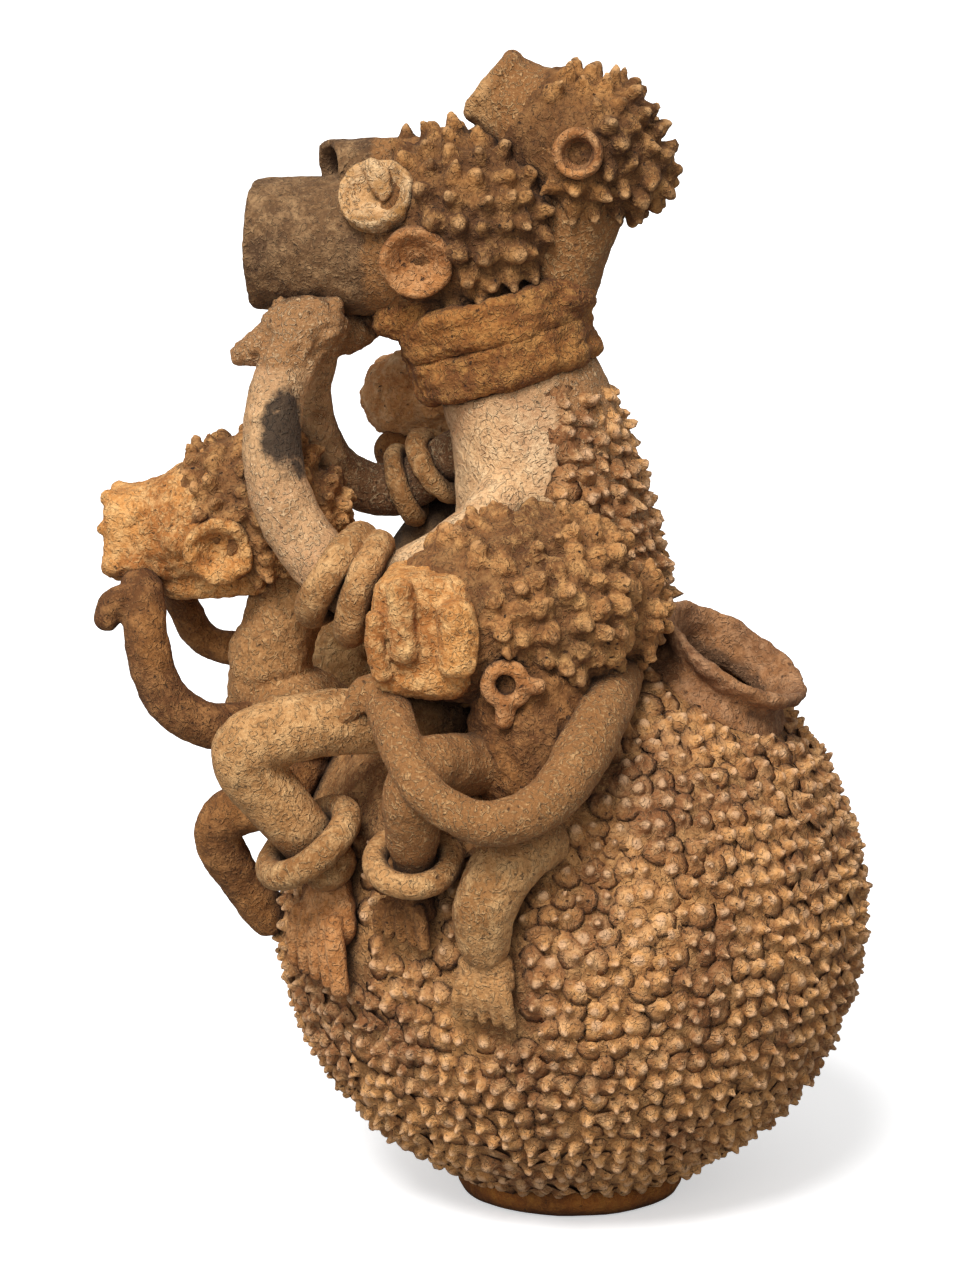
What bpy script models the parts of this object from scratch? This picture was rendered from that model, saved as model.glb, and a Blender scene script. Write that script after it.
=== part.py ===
"""Figural terracotta vessel: a spiked round pot that carries a seated mother and three children.

Metres, +Z up. The origin is the middle of the flat underside of the foot. The mother faces -X, and -Y is
her left side. Every piece is a clay coil, lump or slab that the potter luted onto the pieces before it, so
each one is trimmed to what it was pressed on, with a hairline joint. Only the anklets are loose rings.
"""

import math

import bmesh
import bpy
from mathutils import Matrix, Vector
from mathutils.bvhtree import BVHTree

# The hairline between two luted pieces.
CLEARANCE = 0.0003

# How far a coil's end bulges past its last point, and how far it narrows there, as shares of its radius.
END_ROUND = 0.55
END_TAPER = 0.6

# Pot: a round jar on a low foot, with a flared mouth on its shoulder behind the mother.
POT_RADIUS = 0.138
POT_WALL = 0.008
POT_FLAT_RADIUS = 0.033
POT_SIDES = 20
FOOT_SIDES = 20
FOOT_RADIUS = 0.053
FOOT_FLARE = 0.003
FOOT_PAD = 0.006
FOOT_HEIGHT = 0.018
MOUTH_BEARING = 160.0
MOUTH_LATITUDE = 58.0
MOUTH_LIFT = 0.013
MOUTH_RIM_RADIUS = 0.037
MOUTH_WAIST_RADIUS = 0.032
MOUTH_WALL = 0.007
MOUTH_DEPTH = 0.034
CROWN_VENT_RADIUS = 0.020

# Studs: clay pellets pinched to a point, in rows round the pot and up the mother's back.
STUD_SKIN = 0.0028
STUD_HEIGHT = 0.0075
STUD_COLUMNS = 34
STUD_ROWS = 17
STUD_ROOM = 0.009
BACK_STUD_HEIGHT = 0.0065
HAIR_SKIN = 0.0025
HAIR_HEIGHT = 0.0085
HAIR_ROOM = 0.004
CHILD_HAIR_HEIGHT = 0.0055

# How far a child's face runs into its cap of hair, in points along the head.
FACE_LAP = 0.03

# Mother, measured forward, left and up from the crown of the pot. She is turned a little from -X.
MOTHER_TURN = 8.0
TORSO_WALL = 0.009
TORSO = [(0.004, 0, -0.024, 0.053), (0.006, 0, 0.012, 0.050), (0.010, 0, 0.050, 0.0455),
         (0.017, 0, 0.088, 0.041), (0.026, 0, 0.116, 0.038)]
NECK_WALL = 0.008
NECK = [(0.025, 0, 0.106, 0.034), (0.032, 0, 0.128, 0.034), (0.039, 0, 0.152, 0.035)]
COLLAR_THICKNESS = 0.014
COLLAR_HEIGHT = 0.025
COLLAR_LAP = 0.003
COLLAR_PLACES = (0.95, 1.72)
HEAD_WALL = 0.0055
HEAD = [(0.150, 0, 0.178, 0.031), (0.120, 0, 0.178, 0.0315), (0.090, 0, 0.180, 0.036),
        (0.064, 0, 0.186, 0.041), (0.040, 0, 0.190, 0.0415), (0.018, 0, 0.192, 0.032),
        (0.007, 0, 0.193, 0.017)]
HEAD_HAIRLINE = 2.6
HEAD_HOLLOW_END = 4.5
NOSE = [(0.121, 0, 0.211, 0.0155), (0.100, 0, 0.213, 0.015), (0.074, 0, 0.218, 0.011)]
NOSE_WALL = 0.004
NOSTRIL_PLACE = 1.05
EYE_RADIUS = 0.0178
EYE_HEIGHT = 0.012
EYE_PLACE = 2.28
EYE_ANGLE = 54.0
EYE_DEPTH = 0.45
EAR_RADIUS = 0.017
EAR_HEIGHT = 0.010
EAR_PLACE = 2.75
EAR_ANGLE = 103.0
EAR_DEPTH = 0.3
CUP_RIM = 0.004
CUP_ROOT = 0.010

REAR_HEAD = [(0.041, 0, 0.255, 0.017), (0.025, 0, 0.243, 0.023), (0.007, 0, 0.231, 0.029),
             (-0.012, 0, 0.221, 0.032), (-0.028, 0, 0.213, 0.019)]
REAR_HEAD_WALL = 0.005
REAR_HEAD_HAIRLINE = 1.55
REAR_HEAD_HOLLOW_END = 2.8
REAR_NECK = [(0.012, 0, 0.148, 0.024), (0.004, 0, 0.172, 0.0235), (-0.003, 0, 0.198, 0.026),
             (-0.006, 0, 0.214, 0.024)]
REAR_EAR_RADIUS = 0.0115
REAR_EAR_HEIGHT = 0.011
REAR_EAR_PLACE = 2.65
REAR_EAR_ANGLE = 88.0
REAR_EAR_DEPTH = 0.6

LEFT_ARM = [(0.020, 0.022, 0.078, 0.018), (0.039, 0.050, 0.050, 0.0170), (0.074, 0.071, 0.028, 0.0160),
            (0.097, 0.073, 0.032, 0.0152), (0.117, 0.067, 0.049, 0.0148), (0.132, 0.057, 0.077, 0.0140),
            (0.134, 0.045, 0.108, 0.0130), (0.125, 0.031, 0.138, 0.0130)]
RIGHT_ARM = [(0.034, -0.020, 0.092, 0.0145), (0.062, -0.036, 0.073, 0.0135), (0.086, -0.041, 0.057, 0.0130),
             (0.105, -0.037, 0.057, 0.0125), (0.122, -0.027, 0.073, 0.0115), (0.128, -0.015, 0.105, 0.0105),
             (0.119, -0.008, 0.137, 0.0105)]
LEFT_BRACELETS = (2.55, 3.15)
RIGHT_BRACELETS = (1.3, 2.0)
LEFT_BRACELET_THICKNESS = 0.0155
RIGHT_BRACELET_THICKNESS = 0.0105
BRACELET_BITE = 0.0025
LEFT_HAND = (0.124, 0.024, 0.142)
RIGHT_HAND = (0.113, -0.010, 0.141)
HAND_SIZE = (0.019, 0.017, 0.014)
LEFT_THUMB = [(0.126, 0.026, 0.140, 0.009), (0.141, 0.028, 0.134, 0.0075), (0.155, 0.029, 0.129, 0.004)]
RIGHT_THUMB = [(0.114, -0.012, 0.140, 0.009), (0.125, -0.020, 0.134, 0.007), (0.134, -0.026, 0.128, 0.004)]

# Limbs on the pot: bearing round the pot from -X towards -Y, latitude, lift off the wall, radius.
LEFT_LEG = [(47, 50, 0.001, 0.0165), (45.5, 41.5, 0.028, 0.0158), (40.5, 35.5, 0.053, 0.0155),
            (35.7, 29.6, 0.0705, 0.0158), (35, 26.3, 0.062, 0.0155), (36.3, 23.2, 0.0435, 0.0145),
            (37.7, 19.6, 0.025, 0.0132), (39, 16, 0.012, 0.0132)]
RIGHT_LEG = [(-63, 50, 0.001, 0.0165), (-61.5, 41.5, 0.028, 0.0158), (-56.5, 35.5, 0.053, 0.0155),
             (-51.7, 29.6, 0.0705, 0.0158), (-51, 26.3, 0.062, 0.0155), (-52.3, 23.2, 0.0435, 0.0145),
             (-53.7, 19.6, 0.025, 0.0132), (-55, 16, 0.012, 0.0132)]
LEFT_FOOT = (36.5, 5.5, 0.048, 0.026, 0.042)
RIGHT_FOOT = (-52.5, 5.5, 0.048, 0.026, 0.042)
FOOT_THICKNESS = 0.015
HEEL_SHARE = 1.1
BALL_SHARE = 0.7
SOLE_SHARE = 0.1
TOES = 5
TOE_LENGTH = 0.006
TOE_TAPER = 0.6

# Front child, seated between the mother's knees, measured forward, left and up from its seat on the pot.
FRONT_SEAT = (-1.9, 33.7, 0.0204)
FRONT_HIPS = (0, 0, 0)
FRONT_HIPS_SIZE = (0.029, 0.036, 0.028)
FRONT_TORSO = [(0.016, 0.002, 0.002, 0.0195), (0.011, 0.001, 0.034, 0.0195), (0.004, 0, 0.058, 0.018),
               (0, 0, 0.076, 0.017)]
FRONT_HEAD = [(0.074, 0, 0.090, 0.0225), (0.062, 0, 0.092, 0.0262), (0.042, 0, 0.097, 0.0310),
              (0.023, 0, 0.103, 0.0350), (0.004, 0, 0.105, 0.0340), (-0.009, 0, 0.104, 0.0200)]
FRONT_HAIRLINE = 2.3
FRONT_JAW = [(0.073, 0.004, 0.071, 0.0080), (0.051, 0.008, 0.070, 0.0085), (0.025, 0.008, 0.071, 0.0085),
             (0.009, 0.006, 0.073, 0.0080)]
FRONT_LEFT_ARM = [(0.009, 0.012, 0.004, 0.0120), (0.027, 0.030, 0.004, 0.0115), (0.045, 0.037, 0.010, 0.0110),
                  (0.058, 0.038, 0.025, 0.0108), (0.064, 0.036, 0.045, 0.0105), (0.067, 0.029, 0.061, 0.0105),
                  (0.070, 0.020, 0.069, 0.0100)]
FRONT_RIGHT_ARM = [(0.012, -0.006, 0.036, 0.0090), (0.026, -0.022, 0.030, 0.0085),
                   (0.048, -0.025, 0.034, 0.0080), (0.057, -0.020, 0.050, 0.0080),
                   (0.061, -0.013, 0.066, 0.0080)]
FRONT_HAND = [(0.068, 0.028, 0.063, 0.0098), (0.079, 0.030, 0.062, 0.0085), (0.085, 0.031, 0.054, 0.0068)]
FRONT_EAR_PLACE = 2.55
FRONT_EAR_ANGLE = 118.0
FRONT_EAR_RADIUS = 0.014
FRONT_EAR_HEIGHT = 0.008
FRONT_EAR_DEPTH = 0.3
FRONT_LEFT_LEG = [(6, 30, 0.010, 0.0140), (11.5, 22, 0.019, 0.0125), (10.3, 17.6, 0.034, 0.0120),
                  (9.2, 13.8, 0.037, 0.0116), (7.5, 9, 0.028, 0.0112), (6.5, 4, 0.016, 0.0106),
                  (5.8, -1, 0.006, 0.0106)]
FRONT_RIGHT_LEG = [(-16, 30, 0.012, 0.016), (-29, 23, 0.018, 0.0155), (-36, 14, 0.026, 0.0140),
                   (-36, 6, 0.019, 0.0130), (-34, -2, 0.006, 0.013)]

# Side child, seated on the pot's near shoulder and leaning on the mother's left side.
SIDE_SEAT = (79, 49, 0.014)
SIDE_BODY = [(80, 42, -0.006, 0.031), (79, 49, 0.014, 0.030), (76, 55, 0.034, 0.026)]
SIDE_HEAD = [(0.0560, 0.0104, 0.0363, 0.0290), (0.0430, 0.0034, 0.0393, 0.0350),
             (0.0225, -0.0096, 0.0433, 0.0425), (-0.0012, -0.0226, 0.0443, 0.0450),
             (-0.0230, -0.0320, 0.0433, 0.0385), (-0.0360, -0.0370, 0.0413, 0.0225)]
SIDE_HAIRLINE = 1.35
SIDE_EAR_PLACE = 1.45
SIDE_EAR_ANGLE = 118.0
SIDE_EAR_STAND = 0.9
SIDE_EAR_RING = 0.0082
SIDE_EAR_THICKNESS = 0.0072
SIDE_LEFT_ARM = [(105, 62, 0.004, 0.0150), (96.5, 49, 0.020, 0.0140), (91.5, 39, 0.030, 0.0130),
                 (84.5, 29, 0.042, 0.0112), (75.7, 25.2, 0.053, 0.0102), (67.2, 28.2, 0.058, 0.0098),
                 (59.2, 35.2, 0.053, 0.0100), (50.8, 42.4, 0.047, 0.0108)]
SIDE_THUMB = [(50.8, 43, 0.048, 0.0075), (47.5, 42, 0.053, 0.0068), (46.5, 38.5, 0.052, 0.0055)]
SIDE_LEFT_LEG = [(83, 26.5, 0, 0.0130), (80, 24, 0.010, 0.0142), (77, 20.5, 0.016, 0.0152),
                 (74, 14.5, 0.016, 0.0145), (73.5, 9.5, 0.012, 0.0125), (73.5, 6, 0.008, 0.0105)]
SIDE_LEFT_FOOT = (73.2, -0.6, 0.030, 0.026, 0.029)
SIDE_RIGHT_LEG = [(70, 42, 0.004, 0.0140), (67, 38, 0.016, 0.0140), (64.2, 33.7, 0.040, 0.0142),
                  (63.4, 29.6, 0.048, 0.0138), (62.5, 26.5, 0.040, 0.0130), (61.2, 23.4, 0.029, 0.0115),
                  (59.9, 20.4, 0.019, 0.0098), (58.9, 16.5, 0.0095, 0.0098)]
SIDE_RIGHT_FOOT = (57, 11.5, 0.026, 0.020, 0.029)

# Far child, standing against the mother's right side.
FAR_SEAT = (-84, 55, 0.022)
FAR_BODY = [(-88, 47, -0.006, 0.032), (-84, 55, 0.022, 0.030), (-74, 61, 0.062, 0.027), (-66, 63, 0.100, 0.022)]
FAR_HEAD = [(0.0775, 0.007, 0.1009, 0.0200), (0.0660, 0.002, 0.1009, 0.0245), (0.0490, -0.006, 0.0999, 0.0300),
            (0.0298, -0.012, 0.0989, 0.0295), (0.0158, -0.015, 0.0979, 0.0180)]
FAR_LEFT_LEG = [(0.0038, 0.011, 0.0289, 0.020), (0.0298, 0.029, 0.0349, 0.021), (0.0518, 0.033, 0.0289, 0.021),
                (0.0598, 0.019, 0.0009, 0.018), (0.0558, 0.005, -0.0291, 0.015)]
FAR_RIGHT_LEG = [(-82, 44, 0.016, 0.018), (-72, 36, 0.024, 0.018), (-68, 28, 0.026, 0.017),
                 (-72, 20, 0.018, 0.014), (-75, 13, 0.006, 0.013)]
FAR_LEFT_ARM = [(0.0258, 0.015, 0.0709, 0.0115), (0.0558, 0.025, 0.0609, 0.0115),
                (0.0758, 0.013, 0.0769, 0.0105)]
FAR_RIGHT_ARM = [(0.0138, -0.019, 0.0629, 0.0120), (0.0298, -0.039, 0.0429, 0.0120),
                 (0.0538, -0.039, 0.0429, 0.0115), (0.0698, -0.023, 0.0589, 0.0110),
                 (0.0758, -0.009, 0.0769, 0.0105)]

# Anklets: closed clay rings slipped over the shins before the feet were luted on.
ANKLET_PLAY = 0.0012
ANKLET_THICKNESS = 0.0145
SIDE_ANKLET_THICKNESS = 0.0125
LEFT_ANKLET_PLACE = 6.0
RIGHT_ANKLET_PLACE = 6.0
SIDE_ANKLET_PLACE = 6.0

CLAY = {
    "buff_clay": ("9a6a3f", 0.88),
    "brown_clay": ("7d4f2b", 0.90),
    "red_clay": ("8f5730", 0.88),
    "sooted_clay": ("4f3d2e", 0.92),
}

joints = []


# Frames

POT_CENTRE = Vector((0, 0, FOOT_PAD + CLEARANCE + math.sqrt(POT_RADIUS ** 2 - POT_FLAT_RADIUS ** 2)))
CROWN = POT_CENTRE + Vector((0, 0, POT_RADIUS))


def on_mother(forward, left, up):
    """A place measured forward, left and up from the crown of the pot, along the way the mother faces."""
    turn = math.radians(MOTHER_TURN)
    ahead = Vector((-math.cos(turn), math.sin(turn), 0))
    aside = Vector((-math.sin(turn), -math.cos(turn), 0))
    return CROWN + ahead * forward + aside * left + Vector((0, 0, up))


def outward(bearing, latitude):
    """The pot's outward direction at a bearing from -X towards -Y and a latitude."""
    b, a = math.radians(bearing), math.radians(latitude)
    return Vector((-math.cos(a) * math.cos(b), -math.cos(a) * math.sin(b), math.sin(a)))


def on_pot(bearing, latitude, lift):
    """A place on the pot, lifted off its wall."""
    return POT_CENTRE + outward(bearing, latitude) * (POT_RADIUS + lift)


def by_mother(rows):
    """Rows of forward, left, up and radius as places and radii."""
    return [on_mother(*row[:3]) for row in rows], [row[3] for row in rows]


def by_pot(rows):
    """Rows of bearing, latitude, lift and radius as places and radii."""
    return [on_pot(*row[:3]) for row in rows], [row[3] for row in rows]


def from_seat(seat, forward, left, up):
    """A place measured forward, left and up from a child's seat on the pot."""
    return on_pot(*seat) + on_mother(forward, left, up) - CROWN


def by_seat(seat):
    """The frame of a child: rows of forward, left, up and radius from its seat as places and radii."""
    return lambda rows: ([from_seat(seat, *row[:3]) for row in rows], [row[3] for row in rows])


# Smooth lines

def between(values, place):
    """The value at a place along a list, counted in points, on a smooth curve through all of them."""
    last = len(values) - 1
    first = min(max(int(place), 0), last - 1)
    t = place - first
    before = values[first - 1] if first > 0 else values[0] * 2 - values[1]
    after = values[first + 2] if first + 2 <= last else values[last] * 2 - values[last - 1]
    a, b = values[first], values[first + 1]
    return (a * 2 + (b - before) * t + (before * 2 - a * 5 + b * 4 - after) * t ** 2
            + (a * 3 - before - b * 3 + after) * t ** 3) * 0.5


def heading(points, place):
    """The direction of travel at a place along a line."""
    step = 0.02
    last = len(points) - 1
    return (between(points, min(place + step, last)) - between(points, max(place - step, 0))).normalized()


def frame_along(axis):
    """A turn that takes +Z to the axis, with +X kept as level as can be."""
    z = axis.normalized()
    x = Vector((0, 0, 1)).cross(z)
    if x.length < 1e-6:
        x = Vector((1, 0, 0))
    x.normalize()
    return Matrix((x, z.cross(x), z)).transposed().to_4x4()


# Pieces

def clay(name):
    """A matt fired clay of a named colour."""
    if name in bpy.data.materials:
        return bpy.data.materials[name]
    colour, roughness = CLAY[name]
    material = bpy.data.materials.new(name)
    material.use_nodes = True
    shader = material.node_tree.nodes["Principled BSDF"]
    srgb = [int(colour[i:i + 2], 16) / 255 for i in (0, 2, 4)]
    linear = [(c / 12.92 if c <= 0.04045 else ((c + 0.055) / 1.055) ** 2.4) for c in srgb]
    shader.inputs["Base Color"].default_value = (*linear, 1)
    shader.inputs["Roughness"].default_value = roughness
    shader.inputs["Metallic"].default_value = 0
    return material


def add_object(name, mesh, material=None):
    """A linked object; without a material it is a hidden cutter."""
    obj = bpy.data.objects.new(name, mesh)
    bpy.context.scene.collection.objects.link(obj)
    if material:
        mesh.materials.clear()
        mesh.materials.append(clay(material))
        mesh.shade_smooth()
        mesh.set_sharp_from_angle(angle=math.radians(40))
    else:
        obj.hide_render = True
        obj.display_type = "WIRE"
    return obj


def mesh_of(bm, name):
    """The finished mesh of a bmesh, with its doubles merged and its faces pointing out."""
    bmesh.ops.remove_doubles(bm, verts=bm.verts, dist=1e-6)
    bmesh.ops.recalc_face_normals(bm, faces=bm.faces)
    mesh = bpy.data.meshes.new(name)
    bm.to_mesh(mesh)
    bm.free()
    return mesh


def coil_mesh(name, points, radii, sides=8, steps=1, start=0.0, end=None, ends="round round"):
    """A rolled coil of clay along a smooth line, between two places along it, each end round or flat."""
    last = len(points) - 1 if end is None else end
    places = [start] + [i / steps for i in range(int(start * steps) + 1, math.ceil(last * steps))] + [last]
    line = [between(points, p) for p in places]
    girth = [between(radii, p) for p in places]
    first_end, last_end = ends.split()
    if first_end == "round":
        line.insert(0, line[0] - heading(points, start) * girth[0] * END_ROUND)
        girth.insert(0, girth[0] * END_TAPER)
    if last_end == "round":
        line.append(line[-1] + heading(points, last) * girth[-1] * END_ROUND)
        girth.append(girth[-1] * END_TAPER)
    curve = bpy.data.curves.new(name, "CURVE")
    curve.dimensions = "3D"
    curve.bevel_depth = 1.0
    curve.bevel_resolution = (sides - 4) // 2
    curve.use_fill_caps = True
    spline = curve.splines.new("POLY")
    spline.points.add(len(line) - 1)
    for point, place, radius in zip(spline.points, line, girth):
        point.co = (*place, 1)
        point.radius = radius
    carrier = bpy.data.objects.new(name, curve)
    bpy.context.scene.collection.objects.link(carrier)
    bpy.context.view_layer.update()
    mesh = bpy.data.meshes.new_from_object(carrier.evaluated_get(bpy.context.evaluated_depsgraph_get()))
    bpy.data.objects.remove(carrier)
    bpy.data.curves.remove(curve)
    bm = bmesh.new()
    bm.from_mesh(mesh)
    bpy.data.meshes.remove(mesh)
    return mesh_of(bm, name)


def turned_mesh(name, profile, centre, axis, sides):
    """A shape turned about an axis, from pairs of radius and height that start and end on the axis."""
    bm = bmesh.new()
    ring = [bm.verts.new((radius, 0, height)) for radius, height in profile]
    edges = [bm.edges.new(pair) for pair in zip(ring, ring[1:])]
    bmesh.ops.spin(bm, geom=ring + edges, cent=(0, 0, 0), axis=(0, 0, 1), angle=math.tau,
                   steps=sides, use_merge=True)
    bmesh.ops.transform(bm, matrix=Matrix.Translation(centre) @ frame_along(axis), verts=bm.verts)
    return mesh_of(bm, name)


def ring_mesh(name, centre, axis, radius, thickness, sides=12, facets=5, height=None):
    """A closed ring of round section, or a band where it has a height along its axis."""
    bm = bmesh.new()
    made = bmesh.ops.create_circle(bm, segments=facets, radius=thickness / 2)
    bmesh.ops.rotate(bm, verts=made["verts"], cent=(0, 0, 0), matrix=Matrix.Rotation(math.pi / 2, 3, "X"))
    bmesh.ops.scale(bm, verts=made["verts"], vec=(1, 1, (height or thickness) / thickness))
    bmesh.ops.translate(bm, verts=made["verts"], vec=(radius, 0, 0))
    bmesh.ops.spin(bm, geom=bm.verts[:] + bm.edges[:], cent=(0, 0, 0), axis=(0, 0, 1), angle=math.tau,
                   steps=sides, use_merge=True)
    bmesh.ops.transform(bm, matrix=Matrix.Translation(centre) @ frame_along(axis), verts=bm.verts)
    return mesh_of(bm, name)


def lump_mesh(name, centre, size, turn, sides=12, rings=8):
    """A rounded lump with three half-sizes."""
    bm = bmesh.new()
    bmesh.ops.create_uvsphere(bm, u_segments=sides, v_segments=rings, radius=1)
    bmesh.ops.transform(bm, matrix=Matrix.Translation(centre) @ turn @ Matrix.Diagonal((*size, 1)),
                        verts=bm.verts)
    return mesh_of(bm, name)


def triangulate(mesh):
    """Splits a mesh's faces, so that a piece and the cut for it share the same facets."""
    bm = bmesh.new()
    bm.from_mesh(mesh)
    bmesh.ops.triangulate(bm, faces=bm.faces)
    bm.to_mesh(mesh)
    bm.free()


def grown_mesh(mesh, gap):
    """A copy of a closed skin, larger by the gap."""
    bm = bmesh.new()
    bm.from_mesh(mesh)
    bm.normal_update()
    moves = [(v, v.normal * gap * min(v.calc_shell_factor(), 2.0)) for v in bm.verts]
    for vert, move in moves:
        vert.co += move
    return mesh_of(bm, f"{mesh.name}.joint")


def cut(piece, cutter, operation="DIFFERENCE", solver="EXACT"):
    """A Boolean on a piece."""
    modifier = piece.modifiers.new(cutter.name, "BOOLEAN")
    modifier.operation = operation
    modifier.solver = solver
    modifier.object = cutter
    return piece


def tree_of(mesh):
    """A search tree of a mesh."""
    bm = bmesh.new()
    bm.from_mesh(mesh)
    tree = BVHTree.FromBMesh(bm)
    bm.free()
    return tree


def lute(name, meshes, material, solver="EXACT", round_piece=None):
    """Adds a piece, of one lump of clay or several worked together, trimmed to every earlier piece that it
    is pressed into, and to the one that it is wrapped round."""
    for mesh in meshes:
        triangulate(mesh)
    piece = add_object(name, meshes[0], material)
    for i, mesh in enumerate(meshes[1:]):
        cut(piece, add_object(f"{name}.lump{i}", mesh), "UNION")
    trees = [tree_of(mesh) for mesh in meshes]
    for joint, joint_tree in joints:
        wrapped = round_piece and joint.name.startswith(f"{round_piece}.")
        if wrapped or any(tree.overlap(joint_tree) for tree in trees):
            cut(piece, joint, solver=solver)
    for i, mesh in enumerate(meshes):
        joint = grown_mesh(mesh, CLEARANCE)
        joints.append((add_object(f"{name}.joint{i}", joint), tree_of(joint)))
    return piece


def coil(name, rows, frame, material, sides=8, steps=1):
    """A limb rolled from one coil of clay and luted on."""
    points, radii = frame(rows)
    return lute(name, [coil_mesh(name, points, radii, sides, steps)], material)


def largest_body(piece):
    """Drops the crumbs that the trimming cut loose."""
    bpy.context.view_layer.update()
    made = bpy.data.meshes.new_from_object(piece.evaluated_get(bpy.context.evaluated_depsgraph_get()))
    piece.modifiers.clear()
    piece.data = made
    bm = bmesh.new()
    bm.from_mesh(piece.data)
    left = set(bm.verts)
    bodies = []
    while left:
        body, edge = set(), [left.pop()]
        while edge:
            vert = edge.pop()
            body.add(vert)
            near = {e.other_vert(vert) for e in vert.link_edges} & left
            left -= near
            edge.extend(near)
        bodies.append(body)
    bodies.sort(key=len)
    for body in bodies[:-1]:
        bmesh.ops.delete(bm, geom=list(body), context="VERTS")
    bm.to_mesh(piece.data)
    bm.free()
    return piece


# Pot

def arc(radius, start, end, count):
    """Points of radius and height on an arc about the origin, between two latitudes."""
    angles = [math.radians(start + (end - start) * i / count) for i in range(count + 1)]
    return [(radius * math.cos(a), radius * math.sin(a)) for a in angles]


def make_pot():
    flat = -math.degrees(math.acos(POT_FLAT_RADIUS / POT_RADIUS))
    base = (0, POT_RADIUS * math.sin(math.radians(flat)))
    outside = [(0, POT_RADIUS)] + arc(POT_RADIUS, 76, flat, 7) + [base]
    wall = turned_mesh("pot_body", outside, POT_CENTRE, Vector((0, 0, 1)), POT_SIDES)
    pot = lute("pot_body", [wall], "brown_clay")
    inner = POT_RADIUS - POT_WALL
    inside = [(0, inner)] + arc(inner, 74, flat, 5) + [(0, inner * math.sin(math.radians(flat)))]
    cut(pot, add_object("pot_hollow", turned_mesh("pot_hollow", inside, POT_CENTRE, Vector((0, 0, 1)), 14)))
    mouth_axis = outward(MOUTH_BEARING, MOUTH_LATITUDE)
    bore = MOUTH_WAIST_RADIUS - MOUTH_WALL
    cut(pot, add_object("mouth_hole", plug_mesh("mouth_hole", POT_CENTRE, mouth_axis, bore)))
    vent = plug_mesh("crown_vent", POT_CENTRE, Vector((0, 0, 1)), CROWN_VENT_RADIUS)
    cut(pot, add_object("crown_vent", vent))
    return mouth_axis


def plug_mesh(name, centre, axis, radius):
    """A round plug from a centre out through the pot wall."""
    reach = POT_RADIUS * 1.2
    profile = [(0, reach), (radius, reach), (radius, POT_RADIUS * 0.7), (0, POT_RADIUS * 0.7)]
    return turned_mesh(name, profile, centre, axis, 14)


def make_mouth(axis):
    rim = POT_CENTRE + axis * (POT_RADIUS + MOUTH_LIFT)
    lip = MOUTH_WALL * 0.5
    outside = [(0, 0), (MOUTH_RIM_RADIUS - lip, 0), (MOUTH_RIM_RADIUS, -lip), (MOUTH_RIM_RADIUS, -2 * lip),
               (MOUTH_WAIST_RADIUS, -MOUTH_DEPTH * 0.42), (MOUTH_WAIST_RADIUS + lip, -MOUTH_DEPTH),
               (0, -MOUTH_DEPTH)]
    mouth = lute("pot_mouth", [turned_mesh("pot_mouth", outside, rim, axis, 14)], "red_clay")
    bore = MOUTH_WAIST_RADIUS - MOUTH_WALL
    inside = [(0, lip), (MOUTH_RIM_RADIUS - MOUTH_WALL, lip), (MOUTH_RIM_RADIUS - MOUTH_WALL, -lip),
              (bore, -MOUTH_DEPTH * 0.45), (bore, -MOUTH_DEPTH * 1.2), (0, -MOUTH_DEPTH * 1.2)]
    cut(mouth, add_object("mouth_bore", turned_mesh("mouth_bore", inside, rim, axis, 12)))


def make_foot():
    profile = [(0, FOOT_HEIGHT), (FOOT_RADIUS + FOOT_FLARE, FOOT_HEIGHT), (FOOT_RADIUS + FOOT_FLARE, FOOT_PAD),
               (FOOT_RADIUS, 0), (0, 0)]
    lute("foot_pad", [turned_mesh("foot_pad", profile, Vector(), Vector((0, 0, 1)), FOOT_SIDES)], "red_clay")


# Hollow coils: torso, neck and heads

def hollow(piece, points, radii, wall, start, end, sides, steps=4):
    """Bores a coil out between two places along it, past an end for a place outside, and leaves its wall."""
    last = len(points) - 1
    places = [start + (end - start) * i / steps for i in range(steps + 1)]
    line, girth = [], []
    for place in places:
        kept = min(max(place, 0), last)
        line.append(between(points, kept) + heading(points, kept) * (place - kept) * radii[0])
        girth.append(between(radii, kept) - wall)
    cutter = add_object(f"{piece.name}.hollow", coil_mesh(piece.name, line, girth, sides, 1, ends="flat flat"))
    return cut(piece, cutter)


def make_torso():
    points, radii = by_mother(TORSO)
    torso = lute("torso", [coil_mesh("torso", points, radii, 14, 1, ends="flat flat")], "buff_clay")
    hollow(torso, points, radii, TORSO_WALL, -1, len(points), 10)
    points, radii = by_mother(NECK)
    neck = lute("neck", [coil_mesh("neck", points, radii, 12, 1, ends="flat flat")], "buff_clay")
    hollow(neck, points, radii, NECK_WALL, -1, len(points), 10)
    for name, place in zip(("collar_lower_band", "collar_upper_band"), COLLAR_PLACES):
        radius = between(radii, place) + COLLAR_THICKNESS / 2 - COLLAR_LAP
        ring = ring_mesh(name, between(points, place), heading(points, place), radius, COLLAR_THICKNESS, 10, 5,
                         COLLAR_HEIGHT)
        lute(name, [ring], "red_clay")


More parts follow.
